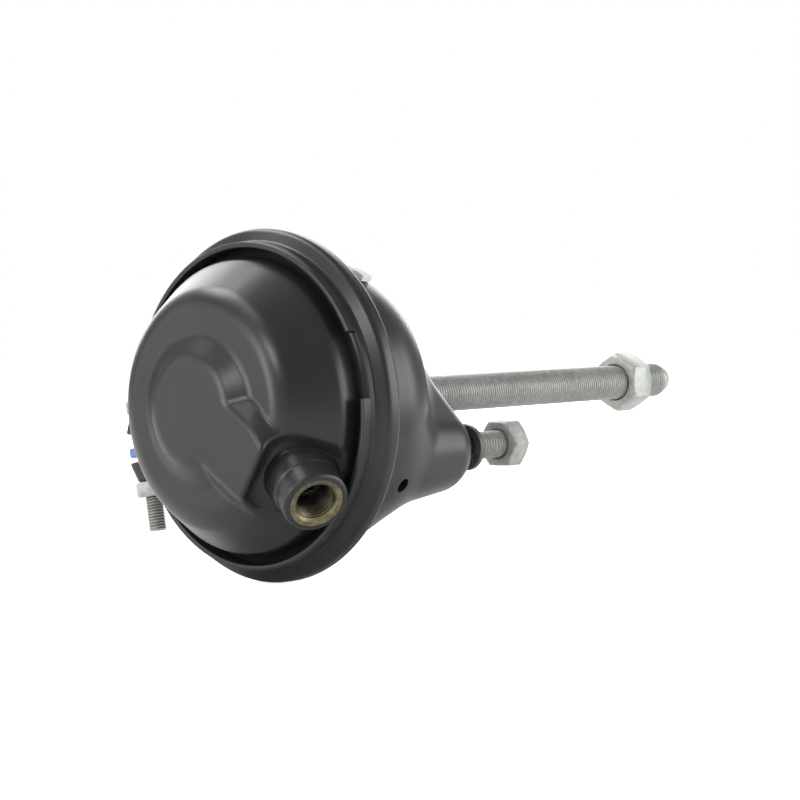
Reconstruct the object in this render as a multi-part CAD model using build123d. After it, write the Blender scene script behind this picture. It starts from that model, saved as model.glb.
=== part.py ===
from build123d import *
import math
import os

# Service brake chamber with a clamped diaphragm, all sizes in millimetres and degrees.
# The origin is the centre of the mounting face, +X runs out along the push rod, +Z is up.
# Angles round the main axis are measured from +Y towards +Z.

# Layout along the main axis
JOINT_X = -78.0  # middle of the clamped diaphragm bead
CAP_DEPTH = 37.0  # from the joint to the flat face of the pressure cap

# Clearances between pieces
SEAT_GAP = 0.1  # between curved faces that seat on each other
THREAD_GAP = 0.05  # radial, between a male thread and its nut
GUIDE_GAP = 0.05  # radial, between the push rod and its guide
SOFT_GAP = 0.3  # between rubber and what it pushes on

# Clamp band, a channel bent from strip
BAND_RADIUS = 72.2
BAND_RIM_WIDTH = 6.0
BAND_SHEET = 2.2
FLANK_ANGLE = 26.0  # between a flank and the plane of the joint
VALLEY_RADIUS = 66.5
REAR_FOOT_RADIUS = 65.0
LIP_DEPTH = 12.0  # front edge of the lip ahead of the joint
RIM_BEND = 3.0
VALLEY_BEND = 1.6
WINDOW_ANGLE = 153.4  # where the relief window in the lip starts
WINDOW_SWEEP = 23.7

# Clamp ears and their bolt
CLAMP_ANGLE = -14.8
CLAMP_BOLT_RADIUS = 80.7  # from the main axis to the bolt
EAR_GAP = 14.0
EAR_SHIFT = 1.5  # middle of the gap along the bolt
EAR_THICKNESS = 8.5
EAR_WIDTH = 15.0
EAR_REACH = 7.6  # outward past the middle of the bolt
EAR_CORNER = 3.0
CLAMP_BOLT_D = 8.0
CLAMP_BOLT_AF = 13.0
CLAMP_HEAD_HEIGHT = 5.5
CLAMP_NUT_HEIGHT = 6.5
CLAMP_THREAD_OUT = 14.0  # thread showing past the nut
CLAMP_CHAMFER = 0.8
RETAINER_D = 15.0
RETAINER_WIDTH = 4.0
RETAINER_SHIFT = 0.3

# Pressure cap, a deep pressing
CAP_SHEET = 2.5
FLANGE_RADIUS = 67.0
FLANGE_BEND = 3.0
CAP_WALL_RADIUS = 60.0
CAP_RIDGE_RADIUS = 59.6
CAP_RIDGE_DEPTH = 16.0  # ridge ahead of the joint
CAP_RIDGE_BEND = 4.0
CAP_SHOULDER_RADIUS = 45.3  # where the face and the cone would meet
CAP_SHOULDER_BEND = 18.0

# Raised keyhole on the face of the cap
KEYHOLE_HEIGHT = 6.0
KEYHOLE_TOP_RADIUS = 20.5
KEYHOLE_BASE_RADIUS = 29.5
LOBE_TOP_HALF_WIDTH = 13.0
LOBE_BASE_HALF_WIDTH = 21.0
LOBE_END_BEND = 9.0
LOBE_SINK = 0.3  # how far the foot of the lobe dips below the face

# Air port, a threaded boss standing in a pocket of the cap
PORT_ANGLE = -146.4
PORT_TILT = 20.0  # leaning forward from the radial direction
PORT_FACE_RADIUS = 65.6  # middle of the mouth
PORT_FACE_DEPTH = 27.5  # middle of the mouth ahead of the joint
PORT_LENGTH = 15.0
PORT_D = 26.4
PORT_EDGE = 1.2
PORT_COLLAR_D = 27.6
PORT_COLLAR_LENGTH = 5.5
PORT_FOOT_CHAMFER = 1.2
PORT_TAP_D = 14.5
PORT_MOUTH_D = 17.4
PORT_MOUTH_CHAMFER = 1.5
AIR_HOLE_D = 11.0
POCKET_HALF_WIDTH = 15.4
POCKET_REAR = 15.2  # from the middle of the port to the rear wall
POCKET_FRONT = 24.0
POCKET_DEPTH = 25.0
POCKET_DRAFT = 18.0
POCKET_CORNER = 8.0
POCKET_FLOOR_BEND = 2.5

# Non-pressure housing, a bowl that runs into a base for the studs
HOUSING_SHEET = 3.0
HOUSING_RADIUS = 60.75
HOUSING_SHOULDER_X = -58.0  # where the straight wall ends
HOUSING_SHOULDER_BEND = 29.0
HOUSING_CONE_ANGLE = 45.0
HOUSING_NOSE_BEND = 6.0
BASE_HALF_WIDTH = 22.0
BASE_LOBE_RADIUS = 12.5
BASE_DRAFT = 9.0
BASE_LENGTH = 56.0
BASE_EDGE_BEND = 7.0
ROD_HOLE_D = 26.0

# Vents round the housing
VENT_ANGLE = -148.0
VENT_COUNT = 4
VENT_X = -54.0
VENT_D = 5.5
PLUGGED_VENTS = (2, 3)  # the two upper ones
PLUG_AF = 11.0
PLUG_HEAD = 4.5
PLUG_DOME = 1.2
PLUG_BARB_D = 6.8
PLUG_BARB_LENGTH = 1.6

# Mounting studs and what hangs on them
STUD_ANGLE = -145.5
STUD_SPACING = 76.2
STUD_D = 12.0
STUD_THREAD_D = 11.8
STUD_PRESS_D = 13.0
STUD_SHANK = 8.5  # plain length behind the mounting face
STUD_LENGTH = 39.0
STUD_CHAMFER = 1.2
STUD_HEAD_D = 18.0
STUD_HEAD_HEIGHT = 4.5
STUD_NUT_AF = 19.0
STUD_NUT_HEIGHT = 10.0
WASHER_BORE_D = 12.9
WASHER_D = 19.8
WASHER_THICKNESS = 3.0
WASHER_SPLIT = 1.2
WASHER_SPLIT_SLANT = 25.0
WASHER_X = 9.2

# Reinforcement plate, rod guide and return spring
PLATE_THICKNESS = 3.5
PLATE_INSET = 0.7
PLATE_EDGE_BEND = 3.2
GUIDE_D = 36.0
GUIDE_FLANGE = 2.0
GUIDE_COLLAR_D = 22.0
GUIDE_COLLAR_OUT = 1.5
SPRING_WIRE_D = 3.8
SPRING_LARGE_RADIUS = 29.0
SPRING_SMALL_RADIUS = 15.5
SPRING_TURNS = 6.0

# Diaphragm
RUBBER = 2.8
BEAD_INNER_RADIUS = 60.8
BEAD_OUTER_RADIUS = 65.4
CAP_REST_GAP = 0.6  # between the resting diaphragm and the cap
WEB_ROOT_RADIUS = 57.5
WEB_HANG = (6.0, 50.5)  # depth ahead of the joint, radius
WEB_WAIST = (22.0, 47.0)
WEB_BENDS = (2.0, 8.0, 12.0, 10.0)
WEB_CROWN_RADIUS = 41.5

# Push plate and push rod
PUSH_PLATE_RADIUS = 37.0
PUSH_PLATE_SHEET = 3.0
PUSH_PLATE_LIP = 6.0
PUSH_PLATE_BEND = 6.0
ROD_D = 15.9
ROD_END_X = 185.4
ROD_CHAMFER = 1.7
ROD_CHAMFER_LENGTH = 4.5
ROD_SPIGOT_D = 12.0
ROD_FOOT_D = 26.0
ROD_FOOT_HEIGHT = 7.0
LOCK_NUT_AF = 24.0
LOCK_NUT_HEIGHT = 13.8
LOCK_NUT_X = 150.8

# Hexagon corners are turned off by a cone this steep, leaving a ring this wide
HEX_CHAMFER_ANGLE = 30.0
HEX_RING_SHARE = 0.97

# Sizes that follow from the ones above
CAP_FACE_X = JOINT_X - CAP_DEPTH
FLANK_SLOPE = math.tan(math.radians(FLANK_ANGLE))
FLANK_COS = math.cos(math.radians(FLANK_ANGLE))
FLOOR_X = -HOUSING_SHEET
PLATE_X = FLOOR_X - PLATE_THICKNESS
GUIDE_X = PLATE_X - GUIDE_FLANGE
DIAPHRAGM_X = CAP_FACE_X + CAP_SHEET + CAP_REST_GAP
PUSH_PLATE_X = DIAPHRAGM_X + RUBBER + SOFT_GAP
PUSH_PLATE_BACK_X = PUSH_PLATE_X + PUSH_PLATE_SHEET
FROM_END = (Align.CENTER, Align.CENTER, Align.MIN)


def radial(angle):
    """Unit direction away from the main axis at an angle round it."""
    turn = math.radians(angle)
    return Vector(0, math.cos(turn), math.sin(turn))


def side_plane(angle):
    """Plane through the main axis: local x along the axis, local y away from it."""
    return Plane(origin=(0, 0, 0), x_dir=(1, 0, 0), z_dir=radial(angle + 90))


def cross_plane(x, angle, normal_x=1):
    """Plane across the main axis at a station: local x points away from the axis."""
    return Plane(origin=(x, 0, 0), x_dir=radial(angle), z_dir=(normal_x, 0, 0))


def axis_plane(centre, direction):
    """Plane whose normal is the axis of a turned piece, starting at its centre point."""
    return Plane(origin=centre, z_dir=direction)


def spin(profile, sweep=360):
    """Turns a side profile round the main axis."""
    return revolve(profile, Axis.X, sweep)


def rod_between(diameter, start, end):
    """Cylinder on the main axis from one station to another."""
    length = end - start
    return cross_plane(start, 0) * Cylinder(diameter / 2, length, align=FROM_END)


def shifted(points, distance):
    """The corners of a path moved to its left by a distance, with mitred corners."""
    path = [Vector(*point) for point in points]
    steps = [(b - a).normalized() for a, b in zip(path, path[1:])]
    sides = [Vector(-step.Y, step.X) for step in steps]
    mitres = [a + b for a, b in zip(sides[:1] + sides, sides + sides[-1:])]
    moved = []
    for corner, mitre, side in zip(path, mitres, sides[:1] + sides):
        direction = mitre.normalized()
        moved.append(corner + direction * (distance / direction.dot(side)))
    return moved


def bend_sides(points):
    """For each inner corner of a path, +1 where it bends to the left, else -1."""
    path = [Vector(*point) for point in points]
    turns = [(b - a).cross(c - b).Z for a, b, c in zip(path, path[1:], path[2:])]
    return [1 if turn > 0 else -1 for turn in turns]


def sheet_paths(points, bends, sheet):
    """Both sides of a bent sheet: the given path and the one a sheet to its left."""
    inner_bends = [bend - side * sheet for bend, side in zip(bends, bend_sides(points))]
    outer = FilletPolyline(*points, radius=bends)
    inner = FilletPolyline(*shifted(points, sheet), radius=inner_bends)
    return outer, inner


def side_face(path, *corners):
    """Side profile bounded by a path and by straight lines through the corners."""
    closing = Polyline(path @ 1, *corners, path @ 0)
    return side_plane(90) * make_face(path.edges() + closing.edges())


def bent_sheet(points, bends, sheet):
    """Round pressing of even thickness, turned from the path of its outer side."""
    outer, inner = sheet_paths(points, bends, sheet)
    ends = Line(outer @ 1, inner @ 1).edges() + Line(inner @ 0, outer @ 0).edges()
    return spin(side_plane(90) * make_face(outer.edges() + inner.edges() + ends))


def hexagon(across_flats, corner_angle=0):
    """Hexagon with a corner at the given angle."""
    flat = across_flats / 2
    return Rot(0, 0, corner_angle) * RegularPolygon(flat, 6, major_radius=False)


def hex_body(across_flats, height, corner_angle=0, both_ends=True):
    """Hexagonal body along +Z with its corners turned off at one or both ends."""
    corner = across_flats / math.sqrt(3)
    ring = across_flats / 2 * HEX_RING_SHARE
    drop = (corner - ring) * math.tan(math.radians(HEX_CHAMFER_ANGLE))
    low = [(ring, 0), (corner, drop)] if both_ends else [(corner, 0)]
    profile = Polyline((0, 0), *low, (corner, height - drop), (ring, height), (0, height), (0, 0))
    turned = revolve(Plane.XZ * make_face(profile.edges()), Axis.Z)
    return extrude(hexagon(across_flats, corner_angle), height) & turned


def hex_nut(across_flats, height, bore_d, corner_angle=0):
    """Hexagon nut along +Z."""
    blank = hex_body(across_flats, height, corner_angle)
    return blank - Cylinder(bore_d / 2, height, align=FROM_END)


def turned_rod(*steps):
    """Turned piece along +Z from pairs of station and diameter."""
    outline = [(diameter / 2, station) for station, diameter in steps]
    ends = [(0, outline[-1][1]), (0, outline[0][1]), outline[0]]
    profile = Polyline(*outline, *ends)
    return revolve(Plane.XZ * make_face(profile.edges()), Axis.Z)


def groove_half_width(radius):
    """Half the width inside the band at a radius."""
    rim = BAND_RIM_WIDTH / 2 - BAND_SHEET / FLANK_COS
    return rim + (BAND_RADIUS - radius) * FLANK_SLOPE


def flange_half_width(radius):
    """Distance of a flange's clamped face from the middle of the joint."""
    return groove_half_width(radius) - SEAT_GAP / FLANK_COS


def bead_half_width(radius, sheet):
    """Half width of the diaphragm bead against a flange of the given sheet."""
    return flange_half_width(radius) - (sheet + SEAT_GAP) / FLANK_COS


def band_points():
    """Outside of the band from its rear foot over the rim to the front of the lip."""
    half = BAND_RIM_WIDTH / 2
    rear = half + (BAND_RADIUS - REAR_FOOT_RADIUS) * FLANK_SLOPE
    front = half + (BAND_RADIUS - VALLEY_RADIUS) * FLANK_SLOPE
    return [
        (JOINT_X + rear, REAR_FOOT_RADIUS),
        (JOINT_X + half, BAND_RADIUS),
        (JOINT_X - half, BAND_RADIUS),
        (JOINT_X - front, VALLEY_RADIUS),
        (JOINT_X - LIP_DEPTH, VALLEY_RADIUS),
    ]


def bolt_plane(along=0.0):
    """Plane across the clamp bolt: local x along the main axis, normal along the bolt."""
    up = radial(CLAMP_ANGLE + 90)
    middle = Vector(JOINT_X, 0, 0) + radial(CLAMP_ANGLE) * CLAMP_BOLT_RADIUS
    return Plane(origin=middle + up * along, x_dir=(1, 0, 0), z_dir=up)


def clamp_ear(start):
    """One clamp ear from a station along the bolt, not yet trimmed to the band."""
    foot = CLAMP_BOLT_RADIUS - VALLEY_RADIUS
    size = (EAR_WIDTH, EAR_REACH + foot, EAR_CORNER)
    outline = Pos(0, (EAR_REACH - foot) / 2) * RectangleRounded(*size)
    hole = Circle(CLAMP_BOLT_D / 2 + SEAT_GAP)
    return extrude(bolt_plane(start) * (outline - hole), EAR_THICKNESS)


def clamp_band():
    """Channel round both flanges, split at the bolt, with two ears and a window."""
    points = band_points()
    bends = [RIM_BEND, RIM_BEND, VALLEY_BEND]
    inner = sheet_paths(points, bends, BAND_SHEET)[1]
    low = EAR_SHIFT - EAR_GAP / 2
    high = EAR_SHIFT + EAR_GAP / 2
    split = Pos(0, 0, low) * Box(4 * LIP_DEPTH, 2 * CLAMP_BOLT_RADIUS - 2 * CAP_WALL_RADIUS,
                                 EAR_GAP, align=FROM_END)
    window = Polyline(
        (JOINT_X - 2 * LIP_DEPTH, CAP_WALL_RADIUS),
        (points[3][0] - BAND_SHEET, CAP_WALL_RADIUS),
        (points[3][0] - BAND_SHEET, BAND_RADIUS),
        (JOINT_X - 2 * LIP_DEPTH, BAND_RADIUS),
        close=True,
    )
    window_face = side_plane(WINDOW_ANGLE) * make_face(window.edges())
    channel = bent_sheet(points, bends, BAND_SHEET)
    channel = channel - bolt_plane() * split - spin(window_face, WINDOW_SWEEP)
    groove = spin(side_face(inner, ((inner @ 1).X, 0), ((inner @ 0).X, 0)))
    ears = clamp_ear(high) + clamp_ear(low - EAR_THICKNESS)
    return channel + (ears - groove)


def clamp_bolt():
    """Hexagon bolt through both ears."""
    top = EAR_SHIFT + EAR_GAP / 2 + EAR_THICKNESS
    bottom = EAR_SHIFT - EAR_GAP / 2 - EAR_THICKNESS - CLAMP_NUT_HEIGHT - CLAMP_THREAD_OUT
    head = Pos(0, 0, top) * hex_body(CLAMP_BOLT_AF, CLAMP_HEAD_HEIGHT, 30, both_ends=False)
    shank = turned_rod(
        (bottom, CLAMP_BOLT_D - 2 * CLAMP_CHAMFER), (bottom + CLAMP_CHAMFER, CLAMP_BOLT_D),
        (top, CLAMP_BOLT_D),
    )
    return bolt_plane() * (head + shank)


def clamp_nut():
    """Nut under the lower ear."""
    start = EAR_SHIFT - EAR_GAP / 2 - EAR_THICKNESS - CLAMP_NUT_HEIGHT
    bore = CLAMP_BOLT_D + 2 * THREAD_GAP
    return bolt_plane(start) * hex_nut(CLAMP_BOLT_AF, CLAMP_NUT_HEIGHT, bore, 30)


def bolt_retainer():
    """Plastic ring that keeps the bolt in the clamp, between the ears."""
    bore = CLAMP_BOLT_D / 2 + THREAD_GAP
    ring = Circle(RETAINER_D / 2) - Circle(bore)
    return extrude(bolt_plane(RETAINER_SHIFT - RETAINER_WIDTH / 2) * ring, RETAINER_WIDTH)


def port_direction():
    """Direction of the air port, out of its mouth."""
    lean = math.radians(PORT_TILT)
    return Vector(-math.sin(lean), 0, 0) + radial(PORT_ANGLE) * math.cos(lean)


def port_plane(depth=0.0):
    """Plane across the air port at a depth below its mouth: local x leans forward."""
    mouth = Vector(JOINT_X - PORT_FACE_DEPTH, 0, 0) + radial(PORT_ANGLE) * PORT_FACE_RADIUS
    lean = math.radians(PORT_TILT)
    forward = Vector(-math.cos(lean), 0, 0) - radial(PORT_ANGLE) * math.sin(lean)
    out = port_direction()
    return Plane(origin=mouth - out * depth, x_dir=forward, z_dir=out)


def port_pocket(sheet):
    """Drafted space of the pocket, grown by a sheet below and beside it."""
    draft = math.radians(POCKET_DRAFT)
    grow = sheet * math.tan(math.pi / 4 - draft / 2)
    length = POCKET_FRONT + POCKET_REAR + 2 * grow
    middle = (POCKET_FRONT - POCKET_REAR) / 2
    outline = RectangleRounded(length, 2 * (POCKET_HALF_WIDTH + grow), POCKET_CORNER + grow)
    plane = port_plane(PORT_LENGTH + sheet)
    space = extrude(plane * Pos(middle, 0) * outline, POCKET_DEPTH + sheet, taper=-POCKET_DRAFT)
    floor = space.faces().sort_by(Axis(plane.origin, plane.z_dir))[0]
    return fillet(floor.edges(), POCKET_FLOOR_BEND + sheet)


def cap_side_points():
    """Outside of the cap from the tip of its flange to its shoulder."""
    return [
        (JOINT_X - flange_half_width(FLANGE_RADIUS), FLANGE_RADIUS),
        (JOINT_X - flange_half_width(CAP_WALL_RADIUS), CAP_WALL_RADIUS),
        (JOINT_X - CAP_RIDGE_DEPTH, CAP_RIDGE_RADIUS),
        (CAP_FACE_X, CAP_SHOULDER_RADIUS),
    ]


def keyhole_edges(inset, half_base, half_top):
    """Soft step of the keyhole in the side view: from its foot to its flat top."""
    reach = half_base - half_top
    steep = math.atan2(2 * KEYHOLE_HEIGHT, reach)
    narrow = inset * math.tan(steep / 2)
    middle = (half_base + half_top) / 2 - narrow
    foot = CAP_FACE_X + inset
    top = foot - KEYHOLE_HEIGHT
    return foot, top, half_base - narrow, middle, half_top - narrow


def cap_solid(inset, path, closing):
    """Solid form of the cap inside one side of its sheet, with the raised keyhole."""
    foot, top, base, middle, crest = keyhole_edges(
        inset, KEYHOLE_BASE_RADIUS, KEYHOLE_TOP_RADIUS)
    step = Bezier((foot, base), (foot, middle), (top, middle), (top, crest))
    body = spin(side_face(path, *closing))
    mound_close = Polyline((top, crest), (top, 0), (foot + CAP_SHEET, 0),
                           (foot + CAP_SHEET, base), (foot, base))
    mound = spin(side_plane(90) * make_face(step.edges() + mound_close.edges()))
    return body + mound + keyhole_lobe(inset)


def keyhole_lobe(inset):
    """Arm of the keyhole that runs from its round end to the air port."""
    foot, top, base, middle, crest = keyhole_edges(
        inset, LOBE_BASE_HALF_WIDTH, LOBE_TOP_HALF_WIDTH)
    sunk = foot + LOBE_SINK
    flank = [
        Bezier((side * base, sunk), (side * middle, sunk), (side * middle, top),
               (side * crest, top))
        for side in (1, -1)
    ]
    rear = foot + 2 * CAP_SHEET
    lines = Polyline((base, sunk), (base, rear), (-base, rear), (-base, sunk))
    crown = Line((crest, top), (-crest, top))
    section = make_face(flank[0].edges() + flank[1].edges() + lines.edges() + crown.edges())
    across = Plane(origin=(0, 0, 0), x_dir=radial(PORT_ANGLE + 90), z_dir=radial(PORT_ANGLE))
    arm = extrude(across * section, CAP_WALL_RADIUS)
    return arm & lobe_envelope(inset)


def lobe_envelope(inset):
    """Round form that ends the arm of the keyhole just inside the cone of the cap."""
    ridge, shoulder = cap_side_points()[2:]
    slope = (ridge[1] - shoulder[1]) / (ridge[0] - shoulder[0])
    sunk = LOBE_SINK + inset / math.cos(math.atan(slope))
    top = CAP_FACE_X + inset - KEYHOLE_HEIGHT
    path = FilletPolyline(
        (ridge[0], ridge[1] - sunk),
        (top, ridge[1] - sunk + (top - ridge[0]) * slope),
        (top, 0),
        radius=[LOBE_END_BEND - inset],
    )
    return spin(side_face(path, (ridge[0], 0)))


def pressure_cap():
    """Pressed cap with a raised keyhole and a pocket for the air port."""
    points = cap_side_points() + [(CAP_FACE_X, 0)]
    bends = [FLANGE_BEND, CAP_RIDGE_BEND, CAP_SHOULDER_BEND]
    outer, inner = sheet_paths(points, bends, CAP_SHEET)
    tip = inner @ 0
    past_joint = JOINT_X + FLANGE_BEND
    outside = cap_solid(0, outer, [(tip.X, 0), tip])
    inside = cap_solid(CAP_SHEET, inner, [(past_joint, 0), (past_joint, tip.Y)])
    cap = (outside - port_pocket(0)) - (inside - port_pocket(CAP_SHEET))
    air_hole = port_plane(PORT_LENGTH + POCKET_DEPTH) * Cylinder(
        AIR_HOLE_D / 2, POCKET_DEPTH, align=FROM_END)
    return cap - air_hole


def air_port():
    """Threaded boss welded to the floor of the pocket."""
    boss = turned_rod(
        (-PORT_LENGTH, PORT_COLLAR_D - 2 * PORT_FOOT_CHAMFER),
        (PORT_FOOT_CHAMFER - PORT_LENGTH, PORT_COLLAR_D),
        (PORT_COLLAR_LENGTH - PORT_LENGTH, PORT_COLLAR_D),
        (PORT_COLLAR_LENGTH - PORT_LENGTH, PORT_D), (-PORT_EDGE, PORT_D),
        (0, PORT_D - 2 * PORT_EDGE),
    )
    bore = turned_rod(
        (-PORT_LENGTH, PORT_TAP_D), (-PORT_MOUTH_CHAMFER, PORT_TAP_D), (0, PORT_MOUTH_D))
    return port_plane() * (boss - bore)


def housing_points():
    """Outside of the housing from the main axis to the tip of its flange."""
    cone = math.radians(HOUSING_CONE_ANGLE)
    corner = HOUSING_SHOULDER_X + HOUSING_SHOULDER_BEND * math.tan(cone / 2)
    nose = HOUSING_RADIUS + corner * math.tan(cone)
    return [
        (0, 0),
        (0, nose),
        (corner, HOUSING_RADIUS),
        (JOINT_X + flange_half_width(HOUSING_RADIUS), HOUSING_RADIUS),
        (JOINT_X + flange_half_width(FLANGE_RADIUS), FLANGE_RADIUS),
    ]


def stud_base(inset):
    """Drafted base that carries the studs, inside a wall thickness."""
    reach = STUD_SPACING / 2
    ends = [Pos(side * reach, 0) * Circle(BASE_LOBE_RADIUS - inset) for side in (1, -1)]
    outline = make_hull((Circle(BASE_HALF_WIDTH - inset) + ends).edges())
    plane = cross_plane(-inset, STUD_ANGLE, normal_x=-1)
    base = extrude(plane * outline, BASE_LENGTH - inset, taper=-BASE_DRAFT)
    return fillet(base.faces().sort_by(Axis.X)[-1].edges(), BASE_EDGE_BEND - inset)


def stud_centres():
    """Where the two studs pass the mounting face."""
    return [radial(STUD_ANGLE) * (side * STUD_SPACING / 2) for side in (1, -1)]


def vent_planes():
    """Planes square to the housing wall at each vent, their normals pointing out."""
    rise = VENT_X - HOUSING_SHOULDER_X
    lean = math.asin(rise / HOUSING_SHOULDER_BEND)
    height = HOUSING_RADIUS - HOUSING_SHOULDER_BEND * (1 - math.cos(lean))
    planes = []
    for index in range(VENT_COUNT):
        out = radial(VENT_ANGLE + index * 360 / VENT_COUNT)
        centre = Vector(VENT_X, 0, 0) + out * height
        normal = Vector(math.sin(lean), 0, 0) + out * math.cos(lean)
        planes.append(axis_plane(centre, normal))
    return planes


def non_pressure_housing():
    """Pressed bowl with its stud base, vents and the holes in its floor."""
    points = housing_points()
    bends = [HOUSING_NOSE_BEND, HOUSING_SHOULDER_BEND, FLANGE_BEND]
    outer, inner = sheet_paths(points, bends, HOUSING_SHEET)
    tip = inner @ 1
    past_joint = JOINT_X - FLANGE_BEND
    outside = spin(side_face(outer, tip, (tip.X, 0))) + stud_base(0)
    inside = spin(side_face(inner, (past_joint, tip.Y), (past_joint, 0)))
    housing = outside - (inside + stud_base(HOUSING_SHEET))
    housing = housing - rod_between(ROD_HOLE_D, 2 * FLOOR_X, -FLOOR_X)
    for centre in stud_centres():
        housing = housing - axis_plane(centre, (1, 0, 0)) * Cylinder(
            STUD_PRESS_D / 2 + THREAD_GAP, 4 * HOUSING_SHEET)
    for plane in vent_planes():
        housing = housing - plane * Cylinder(VENT_D / 2, 4 * HOUSING_SHEET)
    return housing


def reinforcement_plate():
    """Plate inside the floor that spreads the load of the stud heads."""
    inset = HOUSING_SHEET + PLATE_INSET
    ends = [Pos(side * STUD_SPACING / 2, 0) * Circle(BASE_LOBE_RADIUS - inset)
            for side in (1, -1)]
    outline = make_hull((Circle(BASE_HALF_WIDTH - inset) + ends).edges())
    plate = extrude(cross_plane(FLOOR_X, STUD_ANGLE, normal_x=-1) * outline, PLATE_THICKNESS)
    plate = fillet(plate.faces().sort_by(Axis.X)[-1].edges(), PLATE_EDGE_BEND)
    plate = plate - rod_between(ROD_HOLE_D, PLATE_X, FLOOR_X)
    for centre in stud_centres():
        plate = plate - axis_plane(centre, (1, 0, 0)) * Cylinder(
            STUD_PRESS_D / 2 + THREAD_GAP, 4 * PLATE_THICKNESS)
    return plate


def mounting_stud(centre):
    """Stud with its head on the reinforcement plate and a press-fit neck."""
    stud = turned_rod(
        (PLATE_X - STUD_HEAD_HEIGHT, STUD_HEAD_D), (PLATE_X, STUD_HEAD_D),
        (PLATE_X, STUD_PRESS_D), (0, STUD_PRESS_D), (0, STUD_D), (STUD_SHANK, STUD_D),
        (STUD_SHANK, STUD_THREAD_D), (STUD_LENGTH - STUD_CHAMFER, STUD_THREAD_D),
        (STUD_LENGTH, STUD_THREAD_D - 2 * STUD_CHAMFER),
    )
    return axis_plane(centre, (1, 0, 0)) * stud


def stud_nut(centre):
    """Nut run on to the end of a stud, with two corners level with its middle."""
    bore = STUD_THREAD_D + 2 * THREAD_GAP
    place = Plane(origin=centre + Vector(STUD_LENGTH - STUD_NUT_HEIGHT, 0, 0),
                  x_dir=(0, 1, 0), z_dir=(1, 0, 0))
    return place * hex_nut(STUD_NUT_AF, STUD_NUT_HEIGHT, bore, 30)


def lock_washer(centre):
    """Split spring washer that hangs on a stud."""
    hang = (WASHER_BORE_D - STUD_THREAD_D) / 2 - THREAD_GAP
    ring = extrude(Circle(WASHER_D / 2) - Circle(WASHER_BORE_D / 2), WASHER_THICKNESS)
    split = Rot(WASHER_SPLIT_SLANT, 0, 0) * Box(WASHER_D, WASHER_SPLIT, 4 * WASHER_THICKNESS,
                                                align=(Align.MIN, Align.CENTER, Align.CENTER))
    place = Plane(origin=centre + Vector(WASHER_X, 0, -hang), x_dir=(0, 0, 1), z_dir=(1, 0, 0))
    return place * (ring - split)


def vent_plug(plane):
    """Hexagonal plastic plug with a domed head, snapped into a vent."""
    neck = HOUSING_SHEET + 2 * SEAT_GAP
    head = Pos(0, 0, SEAT_GAP) * hex_body(PLUG_AF, PLUG_HEAD, both_ends=False)
    dome = Pos(0, 0, SEAT_GAP + PLUG_HEAD - PLUG_DOME) * Sphere(PLUG_AF)
    dome = Pos(0, 0, -PLUG_AF + PLUG_DOME) * dome
    pin = turned_rod(
        (-neck - PLUG_BARB_LENGTH, VENT_D - 2 * SEAT_GAP), (-neck, PLUG_BARB_D),
        (-neck, VENT_D - 2 * SEAT_GAP), (SEAT_GAP, VENT_D - 2 * SEAT_GAP),
    )
    return plane * ((head & dome) + pin)


def rod_guide():
    """Plastic guide and dust shield round the push rod, held down by the spring."""
    flange = rod_between(GUIDE_D, GUIDE_X, PLATE_X)
    collar = rod_between(GUIDE_COLLAR_D, PLATE_X, GUIDE_COLLAR_OUT)
    bore = rod_between(ROD_D + 2 * GUIDE_GAP, GUIDE_X, GUIDE_COLLAR_OUT)
    return flange + collar - bore


def return_spring():
    """Conical return spring between the push plate and the rod guide."""
    length = GUIDE_X - PUSH_PLATE_BACK_X - SPRING_WIRE_D - 2 * SEAT_GAP
    narrowing = math.atan2(SPRING_LARGE_RADIUS - SPRING_SMALL_RADIUS, length)
    coil = Helix(length / SPRING_TURNS, length, SPRING_LARGE_RADIUS,
                 cone_angle=-math.degrees(narrowing))
    section = Plane(origin=coil @ 0, z_dir=coil % 0) * Circle(SPRING_WIRE_D / 2)
    start = PUSH_PLATE_BACK_X + SPRING_WIRE_D / 2 + SEAT_GAP
    return cross_plane(start, 0) * sweep(section, path=coil, is_frenet=True)


def diaphragm():
    """Rubber diaphragm: a wedge bead in the joint and a web that drapes to the push plate."""
    middle = JOINT_X - RUBBER / 2
    points = [
        (middle, (BEAD_INNER_RADIUS + BEAD_OUTER_RADIUS) / 2),
        (middle, WEB_ROOT_RADIUS),
        (JOINT_X - WEB_HANG[0], WEB_HANG[1]),
        (JOINT_X - WEB_WAIST[0], WEB_WAIST[1]),
        (DIAPHRAGM_X, WEB_CROWN_RADIUS),
        (DIAPHRAGM_X, 0),
    ]
    radii = (BEAD_INNER_RADIUS, BEAD_OUTER_RADIUS)
    front = [(JOINT_X - bead_half_width(radius, CAP_SHEET), radius) for radius in radii]
    rear = [(JOINT_X + bead_half_width(radius, HOUSING_SHEET), radius) for radius in radii]
    bead = Polyline(*front, *reversed(rear), close=True)
    web = bent_sheet(points, list(WEB_BENDS), RUBBER)
    return web + spin(side_plane(90) * make_face(bead.edges()))


def push_plate():
    """Dished plate that the diaphragm pushes on."""
    points = [
        (PUSH_PLATE_X + PUSH_PLATE_LIP + PUSH_PLATE_BEND, PUSH_PLATE_RADIUS),
        (PUSH_PLATE_X, PUSH_PLATE_RADIUS),
        (PUSH_PLATE_X, 0),
    ]
    plate = bent_sheet(points, [PUSH_PLATE_BEND], PUSH_PLATE_SHEET)
    spigot = ROD_SPIGOT_D + 2 * THREAD_GAP
    return plate - rod_between(spigot, PUSH_PLATE_X, PUSH_PLATE_BACK_X)


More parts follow.
